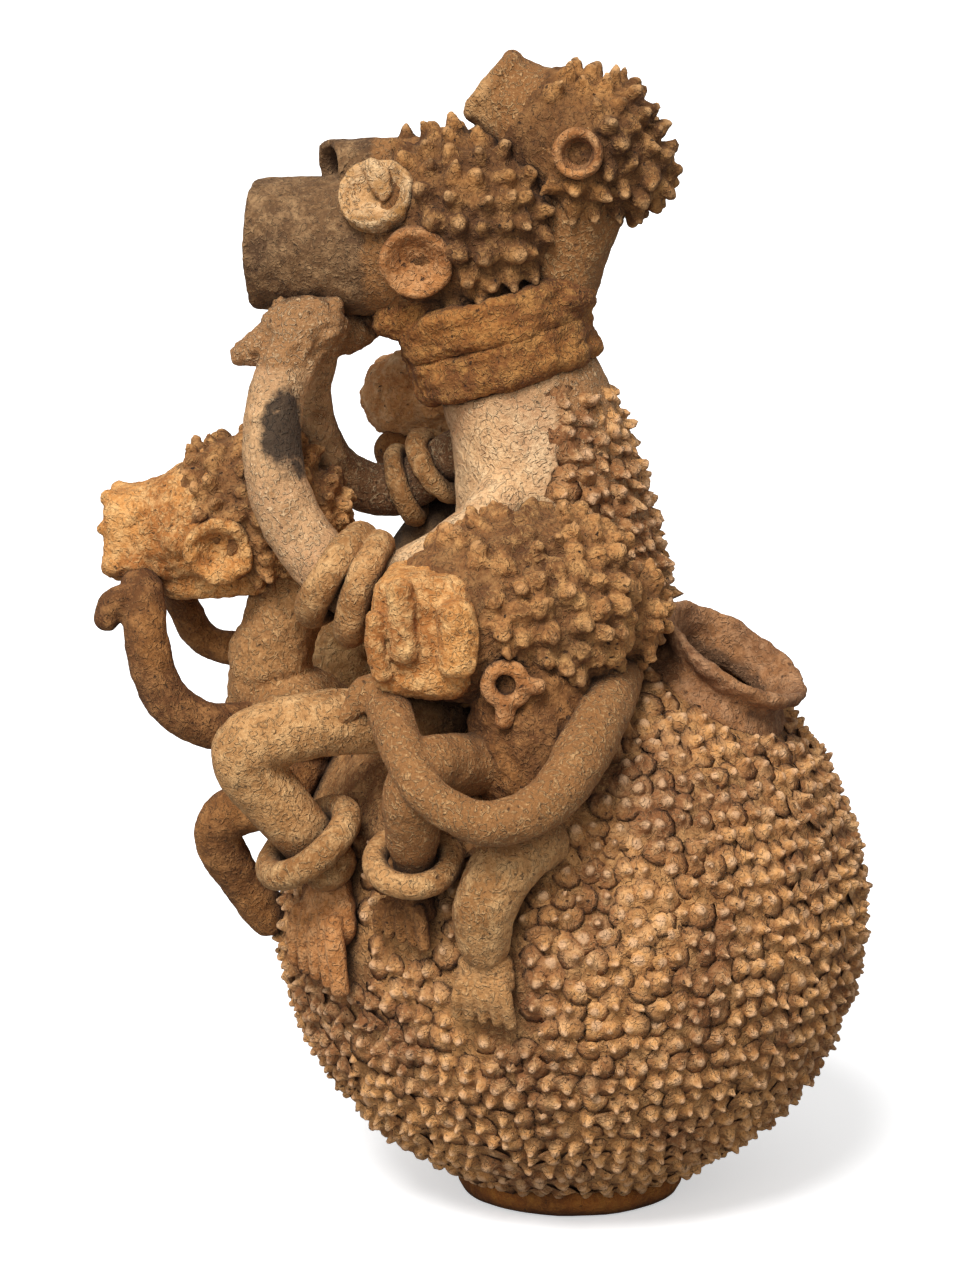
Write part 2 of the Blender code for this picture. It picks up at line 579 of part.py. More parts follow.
def make_front_head():
    points, radii = by_mother(HEAD)
    head = lute("front_head", [coil_mesh("front_head", points, radii, 12, 1, ends="flat round")], "brown_clay")
    hollow(head, points, radii, HEAD_WALL, -1, HEAD_HOLLOW_END, 10, 5)
    nose_points, nose_radii = by_mother(NOSE)
    tube = coil_mesh("front_nose", nose_points, nose_radii, 10, 1, ends="flat flat")
    nose = lute("front_nose", [tube], "brown_clay")
    hollow(nose, nose_points, nose_radii, NOSE_WALL, -1, NOSTRIL_PLACE, 8, 2)
    for side, sign in (("left", 1), ("right", -1)):
        cup(f"front_{side}_eye", points, radii, EYE_PLACE, sign * EYE_ANGLE, EYE_RADIUS, EYE_HEIGHT, EYE_DEPTH)
        cup(f"front_{side}_ear", points, radii, EAR_PLACE, sign * EAR_ANGLE, EAR_RADIUS, EAR_HEIGHT, EAR_DEPTH)


def side_of(points, radii, place, angle):
    """The place on a coil's side at an angle from its top towards the figure's left, and the way out of it."""
    ahead = heading(points, place)
    left = Vector((0, 0, 1)).cross(-ahead).normalized()
    up = (-ahead).cross(left)
    turn = math.radians(angle)
    out = up * math.cos(turn) + left * math.sin(turn)
    return between(points, place) + out * between(radii, place), out


def cup(name, points, radii, place, angle, radius, height, depth):
    """A pinched clay cup for an eye or an ear, pressed onto the side of a head."""
    centre, out = side_of(points, radii, place, angle)
    bowl = radius - CUP_RIM
    profile = [(0, height * (1 - depth) - height * 0.35), (bowl * 0.7, height * (1 - depth)), (bowl, height),
               (radius, height * 0.85), (radius * 0.9, -CUP_ROOT), (0, -CUP_ROOT)]
    return lute(name, [turned_mesh(name, profile, centre - out * height * 0.35, out, 9)], "red_clay")


def make_rear_head():
    points, radii = by_mother(REAR_HEAD)
    neck_points, neck_radii = by_mother(REAR_NECK)
    head = lute("rear_head", [coil_mesh("rear_head", points, radii, 10, 1, ends="flat round")], "buff_clay")
    hollow(head, points, radii, REAR_HEAD_WALL, -1, REAR_HEAD_HOLLOW_END, 8)
    neck = coil_mesh("rear_neck", neck_points, neck_radii, 8, 1, ends="flat flat")
    largest_body(lute("rear_neck", [neck], "buff_clay"))
    for side, sign in (("left", 1), ("right", -1)):
        cup(f"rear_{side}_ear", points, radii, REAR_EAR_PLACE, sign * REAR_EAR_ANGLE, REAR_EAR_RADIUS,
            REAR_EAR_HEIGHT, REAR_EAR_DEPTH)


# Arms, legs and what is on them

def make_arm(side, rows, hand_place, thumb, bracelets, thickness):
    coil(f"{side}_arm", rows, by_mother, "buff_clay", sides=8)
    points, radii = by_mother(rows)
    turn = Matrix.Rotation(-math.radians(MOTHER_TURN), 4, "Z")
    palm = lump_mesh("palm", on_mother(*hand_place), HAND_SIZE, turn, 6, 4)
    spur = coil_mesh("spur", *by_mother(thumb), sides=6)
    lute(f"{side}_hand", [palm, spur], "buff_clay")
    for name, place in zip(("outer", "inner"), bracelets):
        radius = between(radii, place) + thickness / 2 - BRACELET_BITE
        ring = ring_mesh(name, between(points, place), heading(points, place), radius, thickness, 9, 4)
        lute(f"{side}_{name}_bracelet", [ring], "buff_clay", "MANIFOLD")


def foot_mesh(name, bearing, latitude, length, heel_width, toe_width):
    """A slab foot that lies down the pot's side, wider at the toes, with its toes split at the front."""
    bm = bmesh.new()
    bmesh.ops.create_cube(bm, size=1)
    ahead = [e for e in bm.edges if all(v.co.x > 0 for v in e.verts)]
    front = [e for e in ahead if abs(e.verts[0].co.y - e.verts[1].co.y) > 0.5]
    bmesh.ops.subdivide_edges(bm, edges=front, cuts=TOES - 1, use_grid_fill=True)
    for vert in bm.verts:
        toe = vert.co.x > 0
        vert.co.y *= toe_width if toe else heel_width
        vert.co.x *= length
        vert.co.z = (vert.co.z - SOLE_SHARE) * FOOT_THICKNESS * (BALL_SHARE if toe else HEEL_SHARE)
    bm.normal_update()
    tips = [f for f in bm.faces if f.normal.x > 0.9]
    made = bmesh.ops.extrude_discrete_faces(bm, faces=tips)
    for face in made["faces"]:
        middle = face.calc_center_median()
        for vert in face.verts:
            vert.co = middle + (vert.co - middle) * TOE_TAPER + Vector((TOE_LENGTH, 0, 0))
    z = outward(bearing, latitude)
    x = -outward(bearing, latitude + 90)
    place = Matrix((x, z.cross(x), z)).transposed().to_4x4()
    bmesh.ops.transform(bm, matrix=Matrix.Translation(on_pot(bearing, latitude, FOOT_THICKNESS * 0.3)) @ place,
                        verts=bm.verts)
    return mesh_of(bm, name)


def make_mother_limbs():
    make_arm("left", LEFT_ARM, LEFT_HAND, LEFT_THUMB, LEFT_BRACELETS, LEFT_BRACELET_THICKNESS)
    make_arm("right", RIGHT_ARM, RIGHT_HAND, RIGHT_THUMB, RIGHT_BRACELETS, RIGHT_BRACELET_THICKNESS)
    for side, rows, foot in (("left", LEFT_LEG, LEFT_FOOT), ("right", RIGHT_LEG, RIGHT_FOOT)):
        coil(f"{side}_leg", rows, by_pot, "buff_clay")
        lute(f"{side}_foot", [foot_mesh(f"{side}_foot", *foot)], "red_clay")


# Children

def child_head(name, rows, frame, hairline=None, sides=10):
    """A child's head, or only its face where a cap of hair makes the rest of it."""
    points, radii = frame(rows)
    end = hairline + FACE_LAP if hairline else None
    shape = coil_mesh(name, points, radii, sides, end=end, ends="flat flat" if hairline else "flat round")
    lute(name, [shape], "red_clay", "MANIFOLD")
    return points, radii


def make_front_child():
    turn = Matrix.Rotation(-math.radians(MOTHER_TURN), 4, "Z")
    frame = by_seat(FRONT_SEAT)
    hips = lump_mesh("hips", from_seat(FRONT_SEAT, *FRONT_HIPS), FRONT_HIPS_SIZE, turn, 10, 6)
    trunk = coil_mesh("trunk", *frame(FRONT_TORSO), sides=10)
    lute("front_child_body", [trunk, hips], "buff_clay")
    points, radii = child_head("front_child_head", FRONT_HEAD, frame, FRONT_HAIRLINE)
    coil("front_child_jaw", FRONT_JAW, frame, "red_clay")
    limb = [coil_mesh("limb", *frame(FRONT_LEFT_ARM)), coil_mesh("limb", *frame(FRONT_HAND), sides=6)]
    lute("front_child_left_arm", limb, "brown_clay")
    coil("front_child_right_arm", FRONT_RIGHT_ARM, frame, "brown_clay", sides=6)
    coil("front_child_left_leg", FRONT_LEFT_LEG, by_pot, "brown_clay")
    coil("front_child_right_leg", FRONT_RIGHT_LEG, by_pot, "brown_clay", sides=6)
    cup("front_child_ear", points, radii, FRONT_EAR_PLACE, FRONT_EAR_ANGLE, FRONT_EAR_RADIUS, FRONT_EAR_HEIGHT,
        FRONT_EAR_DEPTH)


def make_side_child():
    coil("side_child_body", SIDE_BODY, by_pot, "brown_clay", sides=10)
    points, radii = child_head("side_child_head", SIDE_HEAD, by_seat(SIDE_SEAT), SIDE_HAIRLINE)
    limb = [coil_mesh("limb", *by_pot(SIDE_LEFT_ARM)), coil_mesh("limb", *by_pot(SIDE_THUMB), sides=6)]
    lute("side_child_left_arm", limb, "buff_clay")
    coil("side_child_left_leg", SIDE_LEFT_LEG, by_pot, "buff_clay")
    lute("side_child_left_foot", [foot_mesh("side_child_left_foot", *SIDE_LEFT_FOOT)], "buff_clay")
    coil("side_child_right_leg", SIDE_RIGHT_LEG, by_pot, "buff_clay")
    lute("side_child_right_foot", [foot_mesh("side_child_right_foot", *SIDE_RIGHT_FOOT)], "brown_clay")
    edge, out = side_of(points, radii, SIDE_EAR_PLACE, SIDE_EAR_ANGLE)
    facing = on_mother(0, 1, 0) - on_mother(0, 0, 0)
    middle = edge + out * SIDE_EAR_RING * SIDE_EAR_STAND
    lute("side_child_ear", [ring_mesh("side_child_ear", middle, facing, SIDE_EAR_RING, SIDE_EAR_THICKNESS, 12)],
         "red_clay")


def make_far_child():
    frame = by_seat(FAR_SEAT)
    coil("far_child_body", FAR_BODY, by_pot, "brown_clay")
    child_head("far_child_head", FAR_HEAD, frame, sides=8)
    coil("far_child_left_leg", FAR_LEFT_LEG, frame, "sooted_clay", sides=6)
    coil("far_child_right_leg", FAR_RIGHT_LEG, by_pot, "brown_clay", sides=6)
    coil("far_child_left_arm", FAR_LEFT_ARM, frame, "brown_clay", sides=6)
    coil("far_child_right_arm", FAR_RIGHT_ARM, frame, "brown_clay", sides=6)


# Studs and spiked hair

def has_room(place, carrier, room):
    """Whether a place on a carrier's skin is clear of every other piece by the room that a stud takes."""
    others = [tree for joint, tree in joints if not joint.name.startswith(f"{carrier}.")]
    return all(tree.find_nearest(place, room)[0] is None for tree in others)


def spiked(mesh, height, carrier, room, chosen=lambda face: True):
    """Pinches each chosen four-sided face of a carrier's skin out to a point, where a stud has room."""
    bm = bmesh.new()
    bm.from_mesh(mesh)
    bm.normal_update()
    faces = [f for f in bm.faces if len(f.verts) == 4 and chosen(f)
             and has_room(f.calc_center_median(), carrier, room)]
    bmesh.ops.poke(bm, faces=faces, offset=height, center_mode="MEAN", use_relative_offset=False)
    bm.to_mesh(mesh)
    bm.free()
    return mesh


def make_hair(name, rows, frame, head, hairline, height, sides, ends="flat flat"):
    """A cap of spiked hair on the back of a head, from its hairline to its end."""
    points, radii = frame(rows)
    skin = coil_mesh(name, points, [r + HAIR_SKIN for r in radii], sides, start=hairline, ends=ends)
    skin = spiked(skin, height, head, HAIR_ROOM)
    largest_body(lute(name, [skin], "brown_clay", "MANIFOLD")).data.shade_flat()


def make_back_studs():
    points, radii = by_mother(TORSO)
    skin = coil_mesh("back_studs", points, [r + STUD_SKIN for r in radii], 14, 1, ends="flat flat")
    bm = bmesh.new()
    bm.from_mesh(skin)
    ahead = on_mother(1, 0, 0) - on_mother(0, 0, 0)
    plane = on_mother(0.004, 0, 0)
    made = bmesh.ops.bisect_plane(bm, geom=bm.verts[:] + bm.edges[:] + bm.faces[:], plane_co=plane,
                                  plane_no=ahead, clear_outer=True)
    edges = [e for e in made["geom_cut"] if isinstance(e, bmesh.types.BMEdge)]
    bmesh.ops.holes_fill(bm, edges=edges)
    skin = mesh_of(bm, "back_studs")
    skin = spiked(skin, BACK_STUD_HEIGHT, "torso", HAIR_ROOM, lambda f: f.normal.dot(ahead) < 0.2)
    largest_body(lute("back_studs", [skin], "brown_clay", "MANIFOLD")).data.shade_flat()


def make_pot_studs():
    bm = bmesh.new()
    bmesh.ops.create_uvsphere(bm, u_segments=STUD_COLUMNS, v_segments=STUD_ROWS, radius=POT_RADIUS + STUD_SKIN)
    bmesh.ops.translate(bm, verts=bm.verts, vec=POT_CENTRE)
    skin = mesh_of(bm, "pot_studs")
    skin = spiked(skin, STUD_HEIGHT, "pot_body", STUD_ROOM)
    largest_body(lute("pot_studs", [skin], "brown_clay", "MANIFOLD", round_piece="pot_body")).data.shade_flat()


def hung_on(points, place):
    """The centre and axis of a loose ring that hangs on a limb, sunk by its play until it rests on it."""
    axis = heading(points, place)
    down = Vector((0, 0, -1))
    down = (down - axis * down.dot(axis)).normalized()
    return between(points, place) + down * (ANKLET_PLAY - CLEARANCE), axis


def make_anklets():
    """Loose closed rings: each hangs on its shin with a little play and isn't trimmed. What is luted on
    later keeps clear of it."""
    for name, rows, place, thickness in (
            ("left_anklet", LEFT_LEG, LEFT_ANKLET_PLACE, ANKLET_THICKNESS),
            ("right_anklet", RIGHT_LEG, RIGHT_ANKLET_PLACE, ANKLET_THICKNESS),
            ("side_child_anklet", SIDE_RIGHT_LEG, SIDE_ANKLET_PLACE, SIDE_ANKLET_THICKNESS)):
        points, radii = by_pot(rows)
        radius = between(radii, place) + ANKLET_PLAY + thickness / 2
        ring = ring_mesh(name, *hung_on(points, place), radius, thickness, 16, 6)
        room = grown_mesh(ring, ANKLET_PLAY)
        joints.append((add_object(f"{name}.room", room), tree_of(room)))
        add_object(name, ring, "buff_clay")


def main():
    for obj in list(bpy.data.objects):
        bpy.data.objects.remove(obj)
    axis = make_pot()
    make_mouth(axis)
    make_foot()
    make_torso()
    make_front_head()
    make_rear_head()
    make_mother_limbs()
    make_side_child()
    make_front_child()
    make_far_child()
    make_hair("front_head_spikes", HEAD, by_mother, "front_head", HEAD_HAIRLINE, HAIR_HEIGHT, 10)
    make_hair("rear_head_spikes", REAR_HEAD, by_mother, "rear_head", REAR_HEAD_HAIRLINE, HAIR_HEIGHT, 10)
    make_hair("front_child_hair", FRONT_HEAD, by_seat(FRONT_SEAT), "front_child_head", FRONT_HAIRLINE,
              CHILD_HAIR_HEIGHT, 10, "flat round")
    make_hair("side_child_hair", SIDE_HEAD, by_seat(SIDE_SEAT), "side_child_head", SIDE_HAIRLINE,
              CHILD_HAIR_HEIGHT, 10, "flat round")
    make_back_studs()
    make_anklets()
    make_pot_studs()


main()
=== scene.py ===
"""Figural terracotta vessel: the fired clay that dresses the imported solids.

Metres, +Z up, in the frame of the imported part. The mother faces -X, and -Y is her left side. Limbs, heads
and bodies are rolled coils and lumps pressed into one skin, the studs and the spiked hair are pinched pellets,
and only the anklets are loose rings.
"""

import math
import random

import bmesh
import bpy
from mathutils import Matrix, Vector, noise
from mathutils.bvhtree import BVHTree


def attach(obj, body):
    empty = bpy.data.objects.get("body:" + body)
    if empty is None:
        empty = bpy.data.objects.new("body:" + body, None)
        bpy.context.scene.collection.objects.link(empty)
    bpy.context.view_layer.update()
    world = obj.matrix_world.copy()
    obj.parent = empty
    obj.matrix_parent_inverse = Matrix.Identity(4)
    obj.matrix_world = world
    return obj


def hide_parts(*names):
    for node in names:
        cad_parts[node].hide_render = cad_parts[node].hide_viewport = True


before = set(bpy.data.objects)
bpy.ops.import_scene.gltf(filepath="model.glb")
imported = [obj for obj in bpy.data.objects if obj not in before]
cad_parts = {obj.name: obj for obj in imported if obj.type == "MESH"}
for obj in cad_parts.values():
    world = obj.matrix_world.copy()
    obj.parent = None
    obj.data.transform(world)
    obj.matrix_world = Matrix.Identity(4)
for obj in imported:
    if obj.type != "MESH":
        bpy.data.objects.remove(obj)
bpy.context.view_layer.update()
chance = random.Random(7)

# Pot
POT_RADIUS = 0.138
POT_WALL = 0.008
POT_FLAT_RADIUS = 0.033
FOOT_PAD = 0.0063
POT_CENTRE = Vector((0, 0, FOOT_PAD + math.sqrt(POT_RADIUS ** 2 - POT_FLAT_RADIUS ** 2)))
CROWN = POT_CENTRE + Vector((0, 0, POT_RADIUS))
MOUTH_BEARING = 160.0
MOUTH_LATITUDE = 58.0
MOTHER_TURN = 8.0

# Mother: forward, left and up from the crown of the pot, and radius.
TORSO = [(0.004, 0, -0.024, 0.053), (0.006, 0, 0.012, 0.050), (0.010, 0, 0.050, 0.0455),
         (0.017, 0, 0.088, 0.041), (0.026, 0, 0.116, 0.038)]
NECK = [(0.025, 0, 0.106, 0.034), (0.032, 0, 0.128, 0.034), (0.039, 0, 0.152, 0.035)]
COLLAR_THICKNESS = 0.014
COLLAR_HEIGHT = 0.025
COLLAR_LAP = 0.003
COLLAR_PLACES = (0.95, 1.72)
HEAD = [(0.150, 0, 0.178, 0.031), (0.120, 0, 0.178, 0.0315), (0.090, 0, 0.180, 0.036),
        (0.064, 0, 0.186, 0.041), (0.040, 0, 0.190, 0.0415), (0.018, 0, 0.192, 0.032),
        (0.007, 0, 0.193, 0.017)]
EYE_PLACE = 2.28
EYE_ANGLE = 54.0
NOSE = [(0.121, 0, 0.211, 0.0155), (0.100, 0, 0.213, 0.015), (0.074, 0, 0.218, 0.011)]
REAR_HEAD = [(0.041, 0, 0.255, 0.017), (0.025, 0, 0.243, 0.023), (0.007, 0, 0.231, 0.029),
             (-0.012, 0, 0.221, 0.032), (-0.028, 0, 0.213, 0.019)]
REAR_NECK = [(0.012, 0, 0.148, 0.024), (0.004, 0, 0.172, 0.0235), (-0.003, 0, 0.198, 0.026),
             (-0.006, 0, 0.214, 0.024)]
LEFT_ARM = [(0.020, 0.022, 0.078, 0.018), (0.039, 0.050, 0.050, 0.0170), (0.074, 0.071, 0.028, 0.0160),
            (0.097, 0.073, 0.032, 0.0152), (0.117, 0.067, 0.049, 0.0148), (0.132, 0.057, 0.077, 0.0140),
            (0.134, 0.045, 0.108, 0.0130), (0.125, 0.031, 0.138, 0.0130)]
RIGHT_ARM = [(0.034, -0.020, 0.092, 0.0145), (0.062, -0.036, 0.073, 0.0135), (0.086, -0.041, 0.057, 0.0130),
             (0.105, -0.037, 0.057, 0.0125), (0.122, -0.027, 0.073, 0.0115), (0.128, -0.015, 0.105, 0.0105),
             (0.119, -0.008, 0.137, 0.0105)]
LEFT_BRACELETS = (2.55, 3.15)
RIGHT_BRACELETS = (1.3, 2.0)
LEFT_BRACELET_THICKNESS = 0.0155
RIGHT_BRACELET_THICKNESS = 0.0105
BRACELET_BITE = 0.0025
LEFT_HAND = (0.124, 0.024, 0.142)
RIGHT_HAND = (0.113, -0.010, 0.141)
LEFT_THUMB = [(0.126, 0.026, 0.140, 0.009), (0.141, 0.028, 0.134, 0.0075), (0.155, 0.029, 0.129, 0.004)]
RIGHT_THUMB = [(0.114, -0.012, 0.140, 0.009), (0.125, -0.020, 0.134, 0.007), (0.134, -0.026, 0.128, 0.004)]

# Limbs on the pot: bearing, latitude, lift off the wall, radius.
LEFT_LEG = [(47, 50, 0.001, 0.0165), (45.5, 41.5, 0.028, 0.0158), (40.5, 35.5, 0.053, 0.0155),
            (35.7, 29.6, 0.0705, 0.0158), (35, 26.3, 0.062, 0.0155), (36.3, 23.2, 0.0435, 0.0145),
            (37.7, 19.6, 0.025, 0.0132), (39, 16, 0.012, 0.0132)]
# The right leg lies as far from this bearing as the left one, on its other side.
LEGS_MIDDLE = -8
RIGHT_LEG = [(2 * LEGS_MIDDLE - bearing, *row) for bearing, *row in LEFT_LEG]
LEFT_FOOT = (36.5, 5.5, 0.048, 0.026, 0.042)
RIGHT_FOOT = (2 * LEGS_MIDDLE - LEFT_FOOT[0], *LEFT_FOOT[1:])

# Front child: forward, left and up from its seat, and its legs on the pot.
FRONT_SEAT = (-1.9, 33.7, 0.0204)
FRONT_TORSO = [(0.016, 0.002, 0.002, 0.0195), (0.011, 0.001, 0.034, 0.0195), (0.004, 0, 0.058, 0.018),
               (0, 0, 0.076, 0.017)]
FRONT_HEAD = [(0.074, 0, 0.090, 0.0225), (0.062, 0, 0.092, 0.0262), (0.042, 0, 0.097, 0.0310),
              (0.023, 0, 0.103, 0.0350), (0.004, 0, 0.105, 0.0340), (-0.009, 0, 0.104, 0.0200)]
FRONT_JAW = [(0.073, 0.004, 0.071, 0.0080), (0.051, 0.008, 0.070, 0.0085), (0.025, 0.008, 0.071, 0.0085),
             (0.009, 0.006, 0.073, 0.0080)]
FRONT_LEFT_ARM = [(0.009, 0.012, 0.004, 0.0120), (0.027, 0.030, 0.004, 0.0115), (0.045, 0.037, 0.010, 0.0110),
                  (0.058, 0.038, 0.025, 0.0108), (0.064, 0.036, 0.045, 0.0105), (0.067, 0.029, 0.061, 0.0105),
                  (0.070, 0.020, 0.069, 0.0100)]
FRONT_RIGHT_ARM = [(0.012, -0.006, 0.036, 0.0090), (0.026, -0.022, 0.030, 0.0085),
                   (0.048, -0.025, 0.034, 0.0080), (0.057, -0.020, 0.050, 0.0080),
                   (0.061, -0.013, 0.066, 0.0080)]
FRONT_EAR_PLACE = 2.55
FRONT_EAR_ANGLE = 118.0
FRONT_HAND = [(0.068, 0.028, 0.063, 0.0098), (0.079, 0.030, 0.062, 0.0085), (0.085, 0.031, 0.054, 0.0068)]
FRONT_LEFT_LEG = [(6, 30, 0.010, 0.0140), (11.5, 22, 0.019, 0.0125), (10.3, 17.6, 0.034, 0.0120),
                  (9.2, 13.8, 0.037, 0.0116), (7.5, 9, 0.028, 0.0112), (6.5, 4, 0.016, 0.0106),
                  (5.8, -1, 0.006, 0.0106)]
FRONT_RIGHT_LEG = [(-16, 30, 0.012, 0.016), (-29, 23, 0.018, 0.0155), (-36, 14, 0.026, 0.0140),
                   (-36, 6, 0.019, 0.0130), (-34, -2, 0.006, 0.013)]

# Side child
SIDE_SEAT = (79, 49, 0.014)
SIDE_BODY = [(80, 42, -0.006, 0.031), (79, 49, 0.014, 0.030), (76, 55, 0.034, 0.026)]
SIDE_HEAD = [(0.0560, 0.0104, 0.0363, 0.0290), (0.0430, 0.0034, 0.0393, 0.0350),
             (0.0225, -0.0096, 0.0433, 0.0425), (-0.0012, -0.0226, 0.0443, 0.0450),
             (-0.0230, -0.0320, 0.0433, 0.0385), (-0.0360, -0.0370, 0.0413, 0.0225)]
SIDE_EAR_PLACE = 1.45
SIDE_EAR_ANGLE = 118.0
SIDE_EAR_RING = 0.0082
SIDE_EAR_THICKNESS = 0.0072
SIDE_EAR_STAND = 0.9
SIDE_LEFT_ARM = [(105, 62, 0.004, 0.0150), (96.5, 49, 0.020, 0.0140), (91.5, 39, 0.030, 0.0130),
                 (84.5, 29, 0.042, 0.0112), (75.7, 25.2, 0.053, 0.0102), (67.2, 28.2, 0.058, 0.0098),
                 (59.2, 35.2, 0.053, 0.0100), (50.8, 42.4, 0.047, 0.0108)]
SIDE_THUMB = [(50.8, 43, 0.048, 0.0075), (47.5, 42, 0.053, 0.0068), (46.5, 38.5, 0.052, 0.0055)]
SIDE_LEFT_LEG = [(83, 26.5, 0, 0.0130), (80, 24, 0.010, 0.0142), (77, 20.5, 0.016, 0.0152),
                 (74, 14.5, 0.016, 0.0145), (73.5, 9.5, 0.012, 0.0125), (73.5, 6, 0.008, 0.0105)]
SIDE_LEFT_FOOT = (73.2, -0.6, 0.030, 0.026, 0.029)
SIDE_RIGHT_LEG = [(70, 42, 0.004, 0.0140), (67, 38, 0.016, 0.0140), (64.2, 33.7, 0.040, 0.0142),
                  (63.4, 29.6, 0.048, 0.0138), (62.5, 26.5, 0.040, 0.0130), (61.2, 23.4, 0.029, 0.0115),
                  (59.9, 20.4, 0.019, 0.0098), (58.9, 16.5, 0.0095, 0.0098)]
SIDE_RIGHT_FOOT = (57, 11.5, 0.026, 0.020, 0.029)

# Far child
FAR_SEAT = (-84, 55, 0.022)
FAR_BODY = [(-88, 47, -0.006, 0.032), (-84, 55, 0.022, 0.030), (-74, 61, 0.062, 0.027),
            (-66, 63, 0.100, 0.022)]
FAR_HEAD = [(0.0775, 0.007, 0.1009, 0.0200), (0.0660, 0.002, 0.1009, 0.0245),
            (0.0490, -0.006, 0.0999, 0.0300), (0.0298, -0.012, 0.0989, 0.0295),
            (0.0158, -0.015, 0.0979, 0.0180)]
FAR_LEFT_LEG = [(0.0038, 0.011, 0.0289, 0.020), (0.0298, 0.029, 0.0349, 0.021),
                (0.0518, 0.033, 0.0289, 0.021), (0.0598, 0.019, 0.0009, 0.018),
                (0.0558, 0.005, -0.0291, 0.015)]
FAR_RIGHT_LEG = [(-82, 44, 0.016, 0.018), (-72, 36, 0.024, 0.018), (-68, 28, 0.026, 0.017),
                 (-72, 20, 0.018, 0.014), (-75, 13, 0.006, 0.013)]
FAR_LEFT_ARM = [(0.0258, 0.015, 0.0709, 0.0115), (0.0558, 0.025, 0.0609, 0.0115),
                (0.0758, 0.013, 0.0769, 0.0105)]
FAR_RIGHT_ARM = [(0.0138, -0.019, 0.0629, 0.0120), (0.0298, -0.039, 0.0429, 0.0120),
                 (0.0538, -0.039, 0.0429, 0.0115), (0.0698, -0.023, 0.0589, 0.0110),
                 (0.0758, -0.009, 0.0769, 0.0105)]

# Anklets: centre along the shin and thickness.
ANKLET_PLAY = 0.0012
ANKLET_SAG = 0.0009
ANKLET_THICKNESS = 0.0145
SIDE_ANKLET_THICKNESS = 0.0125
ANKLET_PLACE = 6.0

# The voxel that presses plain coils into one skin.
VOXEL = 0.0013
# The finer voxel of the hair caps.
TUFT_VOXEL = 0.0010

UP = Vector((0, 0, 1))
FACING = Matrix.Rotation(-math.radians(MOTHER_TURN), 4, "Z")
SIDES = (("left", 1), ("right", -1))


# Places

def on_mother(forward, left, up):
    """A place measured forward, left and up from the crown of the pot, along the way the mother faces."""
    turn = math.radians(MOTHER_TURN)
    ahead = Vector((-math.cos(turn), math.sin(turn), 0))
    aside = Vector((-math.sin(turn), -math.cos(turn), 0))
    return CROWN + ahead * forward + aside * left + Vector((0, 0, up))


def outward(bearing, latitude):
    """The pot's outward direction at a bearing from -X towards -Y and a latitude."""
    b, a = math.radians(bearing), math.radians(latitude)
    return Vector((-math.cos(a) * math.cos(b), -math.cos(a) * math.sin(b), math.sin(a)))


def on_pot(bearing, latitude, lift):
    """A place on the pot, lifted off its wall."""
    return POT_CENTRE + outward(bearing, latitude) * (POT_RADIUS + lift)


def by_mother(rows):
    """Rows of forward, left, up and radius as places and radii."""
    return [on_mother(*row[:3]) for row in rows], [row[3] for row in rows]


def by_pot(rows):
    """Rows of bearing, latitude, lift and radius as places and radii."""
    return [on_pot(*row[:3]) for row in rows], [row[3] for row in rows]


def by_seat(seat, rows):
    """Rows of forward, left, up and radius from a child's seat as places and radii."""
    return [on_pot(*seat) + on_mother(*row[:3]) - CROWN for row in rows], [row[3] for row in rows]


def between(values, place):
    """The value at a place along a list, counted in points, on a smooth curve through all of them."""
    last = len(values) - 1
    first = min(max(int(place), 0), last - 1)
    t = place - first
    before = values[first - 1] if first > 0 else values[0] * 2 - values[1]
    after = values[first + 2] if first + 2 <= last else values[last] * 2 - values[last - 1]
    a, b = values[first], values[first + 1]
    return (a * 2 + (b - before) * t + (before * 2 - a * 5 + b * 4 - after) * t ** 2
            + (a * 3 - before - b * 3 + after) * t ** 3) * 0.5


def heading(points, place):
    """The direction of travel at a place along a line."""
    step = 0.02
    last = len(points) - 1
    return (between(points, min(place + step, last)) - between(points, max(place - step, 0))).normalized()


def side_of(points, radii, place, angle):
    """The place on a coil's side at an angle from its top to the figure's left, and the way out of it."""
    ahead = heading(points, place)
    left = UP.cross(-ahead).normalized()
    up = (-ahead).cross(left)
    turn = math.radians(angle)
    out = up * math.cos(turn) + left * math.sin(turn)
    return between(points, place) + out * between(radii, place), out


def frame_along(axis):
    """A turn that takes +Z to the axis, with +X kept as level as can be."""
    z = axis.normalized()
    x = UP.cross(z)
    if x.length < 1e-6:
        x = Vector((1, 0, 0))
    x.normalize()
    return Matrix((x, z.cross(x), z)).transposed().to_4x4()


# Clay forms

def sweep(path, sides):
    """A closed form: a ring of points extruded through a row of turned and scaled places, its ends filled."""
    bm = bmesh.new()
    ring = bmesh.ops.create_circle(bm, segments=sides, radius=1)["verts"]
    edges = bm.edges[:]
    bmesh.ops.transform(bm, matrix=path[0], verts=ring)
    for before, after in zip(path, path[1:]):
        made = bmesh.ops.extrude_edge_only(bm, edges=edges)["geom"]
        ring = [g for g in made if isinstance(g, bmesh.types.BMVert)]
        fresh = set(ring)
        edges = [g for g in made if isinstance(g, bmesh.types.BMEdge) and fresh.issuperset(g.verts)]
        bmesh.ops.transform(bm, matrix=after @ before.inverted(), verts=ring)
    bmesh.ops.holes_fill(bm, edges=[e for e in bm.edges if e.is_boundary])
    bmesh.ops.recalc_face_normals(bm, faces=bm.faces)
    return bm


